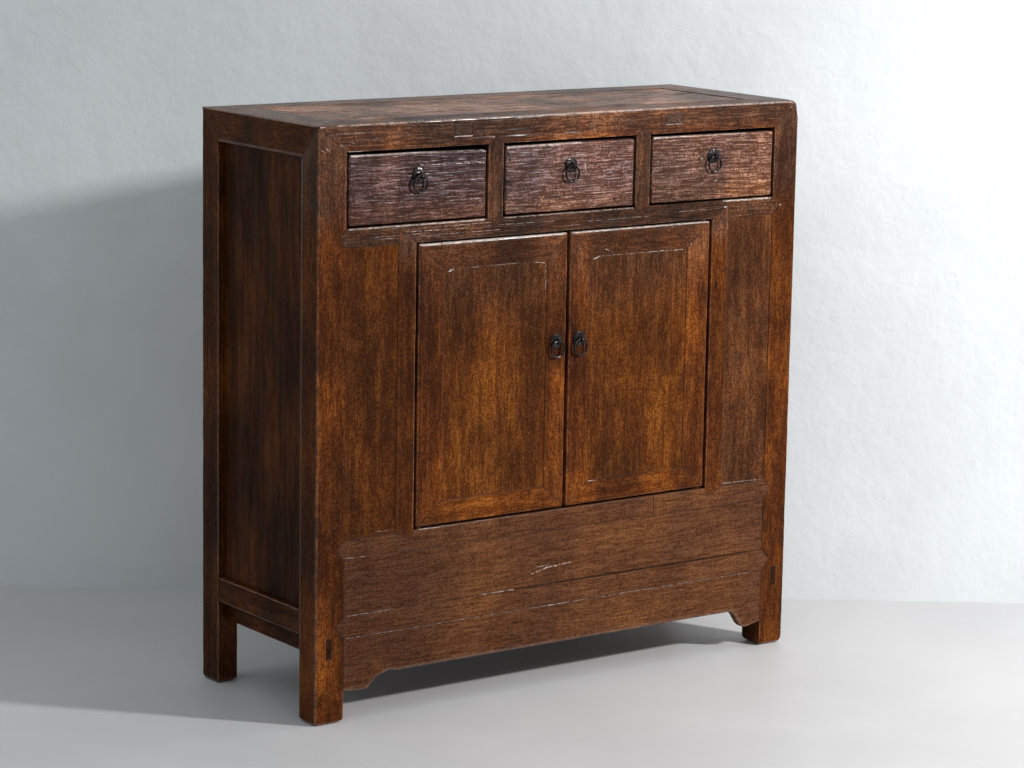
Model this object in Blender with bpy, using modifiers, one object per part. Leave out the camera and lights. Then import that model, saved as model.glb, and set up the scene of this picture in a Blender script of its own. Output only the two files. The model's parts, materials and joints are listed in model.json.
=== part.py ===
"""Old Chinese elm sideboard: three drawers over two pivot doors.

The carcass is a framed case. Four posts carry a mitred top frame, the three-way mitres at the
corners are cut as real planes, and the front members meet in mitred points. Metres, +Z up,
the front faces -Y, and the origin is under the middle of the cabinet, on the floor.
"""
import bmesh
import bpy
from math import pi
from mathutils import Matrix, Vector

# Overall size of the case
body_width = 1.020
body_depth = 0.368
body_height = 1.000

# Clearances that every fit uses, and how near two points of a mesh are welded
fit_gap = 0.0003
cut_overrun = 0.004
weld_distance = 0.00001

# Posts
post_width = 0.056
post_depth = 0.050
rear_post_width = 0.040
rear_post_depth = 0.054
post_arris = 0.005
foot_chamfer = 0.0035

# Top frame, top panel and battens
front_rail_height = 0.045
front_rail_width = 0.066
rear_rail_width = 0.060
end_rail_height = 0.055
end_rail_width = 0.074
top_arris = 0.0035
top_panel_thickness = 0.011
top_panel_drop = 0.001
batten_width = 0.036
batten_height = 0.027
batten_tenon_height = 0.016
batten_offset = 0.2245

# Tongues that hold the panels in their grooves
tongue_length = 0.006
tongue_thickness = 0.005

# Front frame: rails, dividers and jambs, from the drawers down to the floor
frame_thickness = 0.032
leaf_share = 0.375
tenon_share = 0.3125
tenon_length = 0.022
tenon_shoulder = 0.005
drawer_opening_height = 0.125
mid_rail_height = 0.031
lower_rail_height = 0.035
compartment_height = 0.095
bottom_rail_height = 0.038
apron_height = 0.070
apron_clearance = 0.074
apron_thickness = 0.017
divider_width = 0.032
jamb_width = 0.036
fixed_panel_width = 0.1025
fixed_panel_thickness = 0.013
front_panel_drop = 0.0008

# A mitred point is this share of its bar's half width, with its tip at this share of the width
point_share = 0.86
point_tip_share = 0.50
jamb_top_point_share = 0.60
jamb_foot_point_share = 0.38
jamb_foot_tip_share = 0.70

# Spandrels at the two ends of the apron: width and drop, and their outlines as shares of them
left_spandrel_width = 0.104
left_spandrel_drop = 0.023
left_spandrel_shares = [
    (0.00, 0.94), (0.24, 1.00), (0.47, 0.99), (0.50, 0.88), (0.53, 0.66),
    (0.60, 0.40), (0.68, 0.14), (0.80, 0.00), (0.90, -0.14), (1.00, 0.00),
]
right_spandrel_width = 0.075
right_spandrel_drop = 0.034
right_spandrel_shares = [
    (0.00, 0.80), (0.20, 0.88), (0.42, 1.00), (0.52, 0.97), (0.63, 0.78),
    (0.72, 0.50), (0.80, 0.22), (0.90, 0.05), (1.00, 0.00),
]

# Side panels, side rails and side aprons
side_panel_recess = 0.012
side_panel_thickness = 0.012
side_rail_recess = 0.002
side_rail_thickness = 0.030
side_rail_height = 0.043
side_rail_lift = 0.003
side_apron_recess = 0.020
side_apron_thickness = 0.014
side_apron_height = 0.035

# Back
back_panel_recess = 0.008
back_panel_thickness = 0.010
rear_rail_thickness = 0.030
rear_mid_rail_height = 0.030

# Inner boards
deck_thickness = 0.015
deck_guide_width = 0.012
deck_guide_height = 0.026
floor_thickness = 0.012
floor_drop = 0.012
floor_housing = 0.004
bottom_thickness = 0.012
bottom_drop = 0.014

# Drawers
drawer_front_thickness = 0.022
drawer_front_side_gap = 0.0040
drawer_front_top_gap = 0.0050
drawer_front_foot_gap = 0.0035
drawer_front_arris = 0.0030
drawer_side_clearance = 0.003
drawer_wall = 0.010
drawer_wall_height = 0.088
drawer_bottom_thickness = 0.007
drawer_bottom_lift = 0.004
drawer_rear_clearance = 0.012

# Doors
door_thickness = 0.024
door_side_gap = 0.005
door_meeting_gap = 0.006
door_top_gap = 0.004
door_foot_gap = 0.004
hinge_stile_width = 0.050
meeting_stile_width = 0.043
door_top_rail_width = 0.044
door_bottom_rail_width = 0.040
door_panel_thickness = 0.012
door_panel_drop = 0.001
door_arris = 0.003
pivot_radius = 0.006
pivot_inset = 0.009
pivot_depth = 0.011
pivot_length = 0.012

# Ring pulls
pull_drawer_rise = 0.019
pull_door_rise = 0.0540
boss_radius = 0.0130
boss_rim = 0.0010
boss_dome = 0.0016
eye_hole_radius = 0.0026
eye_wire_radius = 0.0013
eye_stand_off = 0.0053
ring_radius = 0.0138
ring_wire_radius = 0.0019
shank_radius = 0.0022
leg_length = 0.026
leg_thickness = 0.0015
leg_width = 0.0035

# Levels and planes worked out from the sizes above
leaf_thickness = frame_thickness * leaf_share
tenon_thickness = frame_thickness * tenon_share
left, right = -body_width / 2, body_width / 2
front, back = -body_depth / 2, body_depth / 2
apron_top = apron_clearance + apron_height
bottom_rail_top = apron_top + bottom_rail_height
compartment_top = bottom_rail_top + compartment_height
lower_rail_top = compartment_top + lower_rail_height
deck_top = body_height - front_rail_height - drawer_opening_height
mid_rail_bottom = deck_top - mid_rail_height
post_inner = right - post_width
rear_post_inner = right - rear_post_width
jamb_outer = post_inner - fixed_panel_width
jamb_inner = jamb_outer - jamb_width
drawer_opening_width = (2 * post_inner - 2 * divider_width) / 3
divider_middle = drawer_opening_width / 2 + divider_width / 2
side_panel_outer = right - side_panel_recess
side_panel_inner = side_panel_outer - side_panel_thickness
side_rail_bottom = apron_top + side_rail_lift
side_rail_top = side_rail_bottom + side_rail_height
back_panel_front = back - back_panel_recess - back_panel_thickness
deck_underside = deck_top - deck_thickness

SIDES = (("left", -1), ("right", 1))


def new_collection(name):
    """A collection under the scene."""
    collection = bpy.data.collections.new(name)
    bpy.context.scene.collection.children.link(collection)
    return collection


def new_material(name, colour, roughness, metallic=0.0):
    """A plain Principled material."""
    material = bpy.data.materials.new(name)
    material.use_nodes = True
    shader = material.node_tree.nodes["Principled BSDF"]
    shader.inputs["Base Color"].default_value = (*colour, 1)
    shader.inputs["Roughness"].default_value = roughness
    shader.inputs["Metallic"].default_value = metallic
    return material


def add_object(name, mesh, place=None):
    """Links a mesh into the cabinet's collection as a named object."""
    made = bpy.data.objects.new(name, mesh)
    if place is not None:
        made.matrix_basis = place
    parts.objects.link(made)
    return made


def as_tool(tool):
    """Moves a cutter or a guide shape out of the cabinet's collection."""
    if tool.name in parts.objects:
        parts.objects.unlink(tool)
        tools.objects.link(tool)
    tool.hide_render = True
    tool.display_type = "WIRE"
    return tool


def combine(target, tool, operation):
    """Adds a Boolean modifier that cuts or joins a tool's shape."""
    modifier = target.modifiers.new(tool.name, "BOOLEAN")
    modifier.operation = operation
    modifier.solver = "EXACT"
    modifier.object = as_tool(tool)


def cut(target, *cutters):
    """Cuts each tool out of the target."""
    for cutter in cutters:
        combine(target, cutter, "DIFFERENCE")


def join(target, *additions):
    """Makes each added shape one body with the target."""
    for addition in additions:
        combine(target, addition, "UNION")


def finish_shape(shape, mesh_name):
    """Turns a bmesh into a mesh with its faces outward."""
    bmesh.ops.recalc_face_normals(shape, faces=shape.faces)
    mesh = bpy.data.meshes.new(mesh_name)
    shape.to_mesh(mesh)
    shape.free()
    return mesh


def block(name, low, high):
    """A straight board between two corners, with its origin at its middle."""
    low, high = Vector(low), Vector(high)
    shape = bmesh.new()
    bmesh.ops.create_cube(shape, size=1)
    bmesh.ops.scale(shape, vec=high - low, verts=shape.verts)
    return add_object(name, finish_shape(shape, name), Matrix.Translation((low + high) / 2))


def rod(name, start, end, radius, sides):
    """A round rod between two points."""
    start, end = Vector(start), Vector(end)
    along = end - start
    shape = bmesh.new()
    bmesh.ops.create_cone(
        shape, cap_ends=True, segments=sides, radius1=radius, radius2=radius, depth=along.length)
    turn = Vector((0, 0, 1)).rotation_difference(along).to_matrix().to_4x4()
    return add_object(name, finish_shape(shape, name), Matrix.Translation((start + end) / 2) @ turn)


def torus(name, radius, wire_radius, steps, sides, place):
    """A ring of round wire, turned and moved by a matrix in its own mesh."""
    bpy.ops.mesh.primitive_torus_add(
        major_segments=steps, minor_segments=sides, major_radius=radius, minor_radius=wire_radius)
    mesh = bpy.context.object.data
    bpy.data.objects.remove(bpy.context.object)
    mesh.transform(place)
    mesh.shade_smooth()
    return add_object(name, mesh)


def prism(name, outline, start, end):
    """A board cut to an outline seen from the front: a filled 2D curve pushed from start to end."""
    curve = bpy.data.curves.new(name, "CURVE")
    curve.dimensions = "2D"
    curve.fill_mode = "BOTH"
    curve.extrude = (end - start) / 2
    spline = curve.splines.new("POLY")
    spline.points.add(len(outline) - 1)
    for point, (across, up) in zip(spline.points, outline):
        point.co = (across, up, 0, 1)
    spline.use_cyclic_u = True
    drawn = bpy.data.objects.new(name, curve)
    parts.objects.link(drawn)
    drawn.matrix_basis = Matrix.Translation((0, (start + end) / 2, 0)) @ Matrix.Rotation(pi / 2, 4, "X")
    bpy.context.view_layer.update()
    seen = drawn.evaluated_get(bpy.context.evaluated_depsgraph_get())
    shape = bmesh.new()
    shape.from_mesh(bpy.data.meshes.new_from_object(seen))
    bmesh.ops.remove_doubles(shape, verts=shape.verts, dist=weld_distance)
    place = drawn.matrix_world.copy()
    bpy.data.objects.remove(drawn)
    return add_object(name, finish_shape(shape, name), place)


def grow(outline, gap):
    """The same outline with every side moved out by a gap."""
    before = outline[-1:] + outline[:-1]
    after = outline[1:] + outline[:1]
    area = sum(a[0] * b[1] - b[0] * a[1] for a, b in zip(outline, after))
    grown = []
    for last, here, following in zip(before, outline, after):
        normals = []
        for a, b in ((last, here), (here, following)):
            side = Vector((b[0] - a[0], b[1] - a[1])).normalized()
            normals.append(Vector((side.y, -side.x)) * (1 if area > 0 else -1))
        shift = (normals[0] + normals[1]) * gap / (1 + normals[0].dot(normals[1]))
        grown.append((here[0] + shift.x, here[1] + shift.y))
    return grown


def round_edges(board, radius, segments, *faces):
    """Rounds the edges whose two ends both lie on all the given faces: pairs of axis and place."""
    shape = bmesh.new()
    shape.from_mesh(board.data)
    picked = []
    for edge in shape.edges:
        ends = [board.matrix_basis @ corner.co for corner in edge.verts]
        if all(abs(end[axis] - place) < weld_distance for end in ends for axis, place in faces):
            picked.append(edge)
    bmesh.ops.bevel(
        shape, geom=picked, offset=radius, segments=segments, profile=0.5, affect="EDGES",
        clamp_overlap=True)
    shape.to_mesh(board.data)
    shape.free()


def slice_off(board, point, normal):
    """Saws a board along a plane, and drops what lies on the normal's side."""
    shape = bmesh.new()
    shape.from_mesh(board.data)
    everything = list(shape.verts) + list(shape.edges) + list(shape.faces)
    origin = board.matrix_basis.translation
    bmesh.ops.bisect_plane(
        shape, geom=everything, plane_co=Vector(point) - origin, plane_no=normal, clear_outer=True)
    bmesh.ops.holes_fill(shape, edges=[edge for edge in shape.edges if edge.is_boundary])
    bmesh.ops.recalc_face_normals(shape, faces=shape.faces)
    shape.to_mesh(board.data)
    shape.free()


def mitre(board, corner, line, depth, keep):
    """Saws a mitre through a corner: the plane holds a line and a depth direction.

    keep is a direction that points to the side that stays. Half the fit gap comes off.
    """
    normal = Vector(line).cross(Vector(depth)).normalized()
    if normal.dot(Vector(keep)) > 0:
        normal.negate()
    slice_off(board, Vector(corner) + (-normal) * (fit_gap / 2), normal)


def settle(board):
    """Applies a board's modifiers, so that copies can share its mesh."""
    bpy.context.view_layer.update()
    seen = board.evaluated_get(bpy.context.evaluated_depsgraph_get())
    board.data = bpy.data.meshes.new_from_object(seen)
    board.modifiers.clear()
    return board.data


def paint(material, *boards):
    """Gives boards their material."""
    for board in boards:
        board.data.materials.clear()
        board.data.materials.append(material)


def panel(name, low, high, axis, tongue_start):
    """A panel that fills an opening, with a tongue all round.

    low and high are the opening's corners, with the panel's two faces along the axis. The
    second thing returned is the groove that its neighbours get.
    """
    others = [index for index in range(3) if index != axis]
    field_low, field_high = Vector(low), Vector(high)
    tongue_low, tongue_high = Vector(low), Vector(high)
    for index in others:
        field_low[index] += fit_gap
        field_high[index] -= fit_gap
        tongue_low[index] -= tongue_length
        tongue_high[index] += tongue_length
    tongue_low[axis] = tongue_start
    tongue_high[axis] = tongue_start + tongue_thickness
    field = block(name, field_low, field_high)
    join(field, block(name + "_tongue", tongue_low, tongue_high))
    spare = Vector((fit_gap, fit_gap, fit_gap))
    groove = block(name + "_groove", tongue_low - spare, tongue_high + spare)
    return field, as_tool(groove)


def bar_outline(low, high, near, far, low_point, high_point, upright):
    """Outline of a bar with a mitred point at each end.

    A point is its length and the share of the bar's width where its tip lies.
    """
    outline = []
    for place, way, (length, tip_share) in ((low, -1, low_point), (high, 1, high_point)):
        tip = (place + way * length, near + (far - near) * tip_share)
        end = [(place, near), tip, (place, far)]
        if tip_share == 0:
            end.remove((place, near))
        if tip_share == 1:
            end.remove((place, far))
        outline += end if way < 0 else end[::-1]
    if upright:
        outline = [(across, along) for along, across in outline]
    return outline


def pointed_bar(name, low, high, near, far, low_point, high_point, upright=False):
    """A front member: a mitred leaf at the front, a square body behind it, and a tenon each end.

    It runs along X from low to high, or along Z if upright. The tools that it returns cut
    the mortises and the notches of its points.
    """
    def span(first, last, across_low, across_high, start, end):
        if upright:
            return (across_low, start, first), (across_high, end, last)
        return (first, start, across_low), (last, end, across_high)

    outline = bar_outline(low, high, near, far, low_point, high_point, upright)
    bar = prism(name, outline, front, front + leaf_thickness)
    body_front = front + leaf_thickness - tongue_thickness
    tenon_front = front + leaf_thickness + fit_gap
    join(bar, block(name + "_body", *span(
        low + fit_gap, high - fit_gap, near, far, body_front, front + frame_thickness)))
    join(bar, block(name + "_tenons", *span(
        low - tenon_length, high + tenon_length, near + tenon_shoulder, far - tenon_shoulder,
        tenon_front, tenon_front + tenon_thickness)))
    notch = prism(
        name + "_notch", grow(outline, fit_gap), front - cut_overrun, front + leaf_thickness + fit_gap)
    mortise = block(name + "_mortise", *span(
        low - tenon_length - fit_gap, high + tenon_length + fit_gap,
        near + tenon_shoulder - fit_gap, far - tenon_shoulder + fit_gap,
        tenon_front - fit_gap, tenon_front + tenon_thickness + fit_gap))
    return bar, (as_tool(notch), as_tool(mortise))


def make_post(name, side, end):
    """A corner post, sawn at the top to the two planes of its three-way mitre."""
    width = post_width if end < 0 else rear_post_width
    depth = post_depth if end < 0 else rear_post_depth
    outer_x = side * right
    outer_y = end * back
    inner_x = outer_x - side * width
    inner_y = outer_y - end * depth
    low = (min(outer_x, inner_x), min(outer_y, inner_y), 0)
    high = (max(outer_x, inner_x), max(outer_y, inner_y), body_height)
    made = block(name, low, high)
    round_edges(made, post_arris, 3, (0, outer_x), (1, outer_y))
    round_edges(made, foot_chamfer, 1, (2, 0))
    corner = (outer_x, outer_y, body_height)
    mitre(made, corner, (-side * width, 0, -front_rail_height), (0, 1, 0), (0, 0, -1))
    mitre(made, corner, (0, -end * depth, -end_rail_height), (1, 0, 0), (0, 0, -1))
    return made


def make_top_rail(name, end, width):
    """The front or rear rail of the top frame, mitred to the posts and to the end rails."""
    outer_y = end * back
    inner_y = outer_y - end * width
    low = (left, min(outer_y, inner_y), body_height - front_rail_height)
    high = (right, max(outer_y, inner_y), body_height)
    made = block(name, low, high)
    round_edges(made, top_arris, 3, (1, outer_y), (2, body_height))
    for _, side in SIDES:
        corner = (side * right, outer_y, body_height)
        saw_width = post_width if end < 0 else rear_post_width
        mitre(made, corner, (-side * saw_width, 0, -front_rail_height), (0, 1, 0), (0, 0, 1))
        mitre(made, corner, (-side * end_rail_width, -end * width, 0), (0, 0, 1), (-side, 0, 0))
    return made


def make_end_rail(name, side):
    """An end rail of the top frame, mitred to the posts and to the front and rear rails."""
    outer_x = side * right
    inner_x = outer_x - side * end_rail_width
    low = (min(outer_x, inner_x), front, body_height - end_rail_height)
    high = (max(outer_x, inner_x), back, body_height)
    made = block(name, low, high)
    round_edges(made, top_arris, 3, (0, outer_x), (2, body_height))
    for end, depth, width in ((-1, post_depth, front_rail_width), (1, rear_post_depth, rear_rail_width)):
        corner = (outer_x, end * back, body_height)
        mitre(made, corner, (0, -end * depth, -end_rail_height), (1, 0, 0), (0, 0, 1))
        mitre(made, corner, (-side * end_rail_width, -end * width, 0), (0, 0, 1), (0, -end, 0))
    return made


def make_batten(name, place):
    """A batten under the top panel, with tenons that run right through the front and rear rails."""
    top = body_height - top_panel_drop - top_panel_thickness - fit_gap
    low_y = front + front_rail_width + fit_gap
    high_y = back - rear_rail_width - fit_gap
    half = batten_width / 2
    made = block(name, (place - half, low_y, top - batten_height), (place + half, high_y, top))
    tenon_low = (place - half, front, top - batten_tenon_height)
    tenon_high = (place + half, back, top)
    join(made, block(name + "_tenons", tenon_low, tenon_high))
    mortise = block(
        name + "_mortise",
        (place - half - fit_gap, front - cut_overrun, top - batten_tenon_height - fit_gap),
        (place + half + fit_gap, back + cut_overrun, top + fit_gap))
    return made, as_tool(mortise)


def make_apron():
    """The front apron, with a cut spandrel at each end."""
    low = apron_clearance
    first, last = -post_inner + fit_gap, post_inner - fit_gap
    outline = [(last, apron_top - fit_gap), (first, apron_top - fit_gap)]
    for across, down in left_spandrel_shares:
        outline.append((first + left_spandrel_width * across, low - left_spandrel_drop * down))
    for across, down in reversed(right_spandrel_shares):
        outline.append((last - right_spandrel_width * across, low - right_spandrel_drop * down))
    return prism("front_apron", outline, front, front + apron_thickness)


def make_side_rail(name, side, recess, thickness, low, high, tenon_front, tenon_rear, shoulder):
    """A rail between the two posts of one side, with a tenon at each end."""
    outer = side * (right - recess)
    inner = outer - side * thickness
    near, far = min(outer, inner), max(outer, inner)
    start, end = front + post_depth + fit_gap, back - rear_post_depth - fit_gap
    made = block(name, (near, start, low), (far, end, high))
    middle = (near + far) / 2
    half = tenon_thickness / 2
    tenon_low = Vector((middle - half, tenon_front, low + shoulder))
    tenon_high = Vector((middle + half, tenon_rear, high - shoulder))
    join(made, block(name + "_tenons", tenon_low, tenon_high))
    spare = Vector((fit_gap, fit_gap, fit_gap))
    mortise = block(name + "_mortise", tenon_low - spare, tenon_high + spare)
    return made, as_tool(mortise)


def make_post_rooms():
    """The room that each post takes in the boards that are cut out round it."""
    rooms = []
    for _, side in SIDES:
        for end, width, depth in (
                (-1, post_width, post_depth), (1, rear_post_width, rear_post_depth)):
            near, far = sorted((side * (right - width - fit_gap), side * (right + cut_overrun)))
            start, stop = sorted((end * (back - depth - fit_gap), end * (back + cut_overrun)))
            rooms.append(as_tool(block("post_room", (near, start, 0), (far, stop, body_height))))
    return rooms


def notched_board(name, half_width, start, end, low, high, rooms):
    """A board between two heights, with its corners cut out round the posts."""
    made = block(name, (-half_width, start, low), (half_width, end, high))
    cut(made, *rooms)
    return made


def front_tongue(name, board_low, thickness, rear_face, half_width):
    """A board's tongue in the back of a front rail, and the groove for it."""
    low = board_low + (thickness - tongue_thickness) / 2
    tongue_low = Vector((-half_width, rear_face - tongue_length, low))
    tongue_high = Vector((half_width, rear_face + cut_overrun, low + tongue_thickness))
    spare = Vector((0, fit_gap, fit_gap))
    tongue = block(name + "_front_tongue", tongue_low, tongue_high)
    groove = block(
        name + "_front_groove", tongue_low - spare - Vector((cut_overrun, 0, 0)),
        tongue_high + spare + Vector((cut_overrun, 0, 0)))
    return tongue, as_tool(groove)


def make_deck(mid_rail, rooms):
    """The deck under the drawers, with a guide strip at each side, let into the mid rail."""
    rail_back = front + frame_thickness
    half = side_panel_inner - fit_gap
    made = notched_board(
        "drawer_deck", half, rail_back + fit_gap, back_panel_front - fit_gap, deck_underside, deck_top,
        rooms)
    tongue, groove = front_tongue(
        "drawer_deck", deck_underside, deck_thickness, rail_back, post_inner - cut_overrun)
    join(made, tongue)
    cut(mid_rail, groove)
    for side_name, side in SIDES:
        near, far = sorted((side * post_inner, side * (post_inner + deck_guide_width)))
        join(made, block(
            "deck_guide_" + side_name,
            (near, front + post_depth + fit_gap, deck_top - cut_overrun),
            (far, back - rear_post_depth - fit_gap, deck_top + deck_guide_height)))
    return made


def make_divider(name, place):
    """A drawer divider with mitred points, and the guide tail that runs back from it."""
    half = divider_width / 2
    point = (half * point_share, point_tip_share)
    made, cutters = pointed_bar(
        name, deck_top, body_height - front_rail_height, place - half, place + half, point, point,
        upright=True)
    guide_half = deck_guide_width / 2
    join(made, block(
        name + "_guide",
        (place - guide_half, front + frame_thickness - cut_overrun, deck_top + fit_gap),
        (place + guide_half, back_panel_front - fit_gap, deck_top + deck_guide_height)))
    return made, cutters


def make_jamb(name, side):
    """A door jamb: its top mitre tips at the outer edge, and its foot ends in a point."""
    near, far = sorted((side * jamb_inner, side * jamb_outer))
    outer_share = 0 if side < 0 else 1
    foot_tip_share = jamb_foot_tip_share if side < 0 else 1 - jamb_foot_tip_share
    top_point = (jamb_width * jamb_top_point_share, outer_share)
    foot_point = (jamb_width * jamb_foot_point_share, foot_tip_share)
    return pointed_bar(
        name, lower_rail_top, mid_rail_bottom, near, far, foot_point, top_point, upright=True)


def make_carcass():
    """All pieces of the case that stand still, by name."""
    made = {}
    for side_name, side in SIDES:
        for end_name, end in (("front", -1), ("rear", 1)):
            name = "post_" + end_name + "_" + side_name
            made[name] = make_post(name, side, end)
        made["top_rail_" + side_name] = make_end_rail("top_rail_" + side_name, side)
    made["top_rail_front"] = make_top_rail("top_rail_front", -1, front_rail_width)
    made["top_rail_rear"] = make_top_rail("top_rail_rear", 1, rear_rail_width)
    make_top(made)
    make_front_frame(made)
    make_sides(made)
    make_back(made)
    make_inner_boards(made)
    return made


def make_top(made):
    """The top panel in its grooves, and the battens under it."""
    underside = body_height - top_panel_drop - top_panel_thickness
    made["top_panel"], groove = panel(
        "top_panel",
        (left + end_rail_width, front + front_rail_width, underside),
        (right - end_rail_width, back - rear_rail_width, body_height - top_panel_drop),
        2, underside + fit_gap)
    for name in ("top_rail_front", "top_rail_rear", "top_rail_left", "top_rail_right"):
        cut(made[name], groove)
    for side_name, side in SIDES:
        name = "top_batten_" + side_name
        made[name], mortise = make_batten(name, side * batten_offset)
        cut(made["top_rail_front"], mortise)
        cut(made["top_rail_rear"], mortise)


def make_front_frame(made):
    """Rails, dividers, jambs, fixed panels, compartment board and apron."""
    rail_low, rail_high = -post_inner, post_inner
    for name, low, high in (
            ("mid_rail", mid_rail_bottom, deck_top),
            ("lower_rail", compartment_top, lower_rail_top),
            ("bottom_rail", apron_top, bottom_rail_top)):
        point = ((high - low) / 2 * point_share, point_tip_share)
        made[name], cutters = pointed_bar(name, rail_low, rail_high, low, high, point, point)
        cut(made["post_front_left"], *cutters)
        cut(made["post_front_right"], *cutters)
    for side_name, side in SIDES:
        name = "drawer_divider_" + side_name
        made[name], cutters = make_divider(name, side * divider_middle)
        cut(made["top_rail_front"], *cutters)
        cut(made["mid_rail"], *cutters)
    for side_name, side in SIDES:
        name = "door_jamb_" + side_name
        made[name], cutters = make_jamb(name, side)
        cut(made["mid_rail"], *cutters)
        cut(made["lower_rail"], *cutters)
    panel_front = front + front_panel_drop
    panel_back = panel_front + fixed_panel_thickness
    for side_name, side in SIDES:
        name = "fixed_panel_" + side_name
        near, far = sorted((side * jamb_outer, side * post_inner))
        made[name], groove = panel(
            name, (near, panel_front, lower_rail_top), (far, panel_back, mid_rail_bottom),
            1, panel_back - tongue_thickness)
        for neighbour in ("post_front_" + side_name, "door_jamb_" + side_name, "mid_rail", "lower_rail"):
            cut(made[neighbour], groove)
    made["compartment_board"], groove = panel(
        "compartment_board", (rail_low, panel_front, bottom_rail_top),
        (rail_high, panel_back, compartment_top), 1, panel_back - tongue_thickness)
    for neighbour in ("post_front_left", "post_front_right", "lower_rail", "bottom_rail"):
        cut(made[neighbour], groove)
    made["front_apron"] = make_apron()


def make_sides(made):
    """Each side's panel, rail and apron."""
    shown_tenon = front
    blind_front = front + post_depth - tenon_length
    blind_rear = back - rear_post_depth + tenon_length
    for side_name, side in SIDES:
        rail, apron, board = ("side_rail_" + side_name, "side_apron_" + side_name,
                              "side_panel_" + side_name)
        made[rail], rail_mortise = make_side_rail(
            rail, side, side_rail_recess, side_rail_thickness, side_rail_bottom, side_rail_top,
            blind_front, blind_rear, tenon_shoulder)
        apron_high = side_rail_bottom - fit_gap
        made[apron], apron_mortise = make_side_rail(
            apron, side, side_apron_recess, side_apron_thickness, apron_high - side_apron_height,
            apron_high, shown_tenon, blind_rear, fit_gap)
        near, far = sorted((side * side_panel_inner, side * side_panel_outer))
        middle = (near + far) / 2 - tongue_thickness / 2
        made[board], groove = panel(
            board, (near, front + post_depth, side_rail_top),
            (far, back - rear_post_depth, body_height - end_rail_height), 0, middle)
        for post in ("post_front_" + side_name, "post_rear_" + side_name):
            cut(made[post], rail_mortise, apron_mortise, groove)
        cut(made[rail], groove)
        cut(made["top_rail_" + side_name], groove)


def make_back(made):
    """The back panel, the rail under it and the rail that carries the deck."""
    low_x, high_x = -rear_post_inner, rear_post_inner
    panel_back = back_panel_front + back_panel_thickness
    made["back_panel"], groove = panel(
        "back_panel", (low_x, back_panel_front, bottom_rail_top),
        (high_x, panel_back, body_height - front_rail_height), 1,
        panel_back - tongue_thickness - fit_gap)
    rail_back = back - fit_gap
    made["rear_bottom_rail"] = block(
        "rear_bottom_rail", (low_x + fit_gap, rail_back - rear_rail_thickness, apron_top),
        (high_x - fit_gap, rail_back, bottom_rail_top))
    for neighbour in ("post_rear_left", "post_rear_right", "top_rail_rear", "rear_bottom_rail"):
        cut(made[neighbour], groove)
    carrier_top = deck_underside - fit_gap
    made["rear_mid_rail"] = block(
        "rear_mid_rail",
        (low_x + fit_gap, back_panel_front - fit_gap - rear_rail_thickness,
         carrier_top - rear_mid_rail_height),
        (high_x - fit_gap, back_panel_front - fit_gap, carrier_top))


def make_inner_boards(made):
    """Deck, cupboard floor and bottom board."""
    rail_back = front + frame_thickness
    rooms = make_post_rooms()
    made["drawer_deck"] = make_deck(made["mid_rail"], rooms)
    floor_top = lower_rail_top - floor_drop
    floor_low = floor_top - floor_thickness
    made["cupboard_floor"] = notched_board(
        "cupboard_floor", side_panel_inner - fit_gap, rail_back + fit_gap,
        back_panel_front + floor_housing, floor_low, floor_top, rooms)
    tongue, groove = front_tongue(
        "cupboard_floor", floor_low, floor_thickness, rail_back, post_inner - cut_overrun)
    join(made["cupboard_floor"], tongue)
    cut(made["lower_rail"], groove)
    housing = block(
        "floor_housing",
        (-rear_post_inner - cut_overrun, back_panel_front - cut_overrun, floor_low - fit_gap),
        (rear_post_inner + cut_overrun, back_panel_front + floor_housing + fit_gap,
         floor_top + fit_gap))
    cut(made["back_panel"], housing)
    board_top = bottom_rail_top - bottom_drop
    board_low = board_top - bottom_thickness
    side_rail_inner = right - side_rail_recess - side_rail_thickness
    rail_front = back - fit_gap - rear_rail_thickness
    made["bottom_board"] = notched_board(
        "bottom_board", side_rail_inner - fit_gap, rail_back + fit_gap, rail_front - fit_gap,
        board_low, board_top, rooms)
    tongue, groove = front_tongue(
        "bottom_board", board_low, bottom_thickness, rail_back, post_inner - cut_overrun)
    join(made["bottom_board"], tongue)
    cut(made["bottom_rail"], groove)
    tongue_low = board_low + (bottom_thickness - tongue_thickness) / 2
    rear_low = Vector((-rear_post_inner + cut_overrun, rail_front - cut_overrun, tongue_low))
    rear_high = Vector((rear_post_inner - cut_overrun, rail_front + tongue_length,
                        tongue_low + tongue_thickness))
    join(made["bottom_board"], block("bottom_rear_tongue", rear_low, rear_high))
    spare = Vector((cut_overrun, fit_gap, fit_gap))
    cut(made["rear_bottom_rail"], block("bottom_rear_groove", rear_low - spare, rear_high + spare))


def hang(pivot_name, place, *boards):
    """Parents boards to an empty at their joint, where they already are."""
    pivot = bpy.data.objects.new(pivot_name, None)
    pivot.empty_display_size = pivot_radius
    pivot.location = place
    parts.objects.link(pivot)
    undo = Matrix.Translation(-Vector(place))
    for board in boards:
        board.parent = pivot
        board.matrix_parent_inverse = undo
    return pivot


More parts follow.
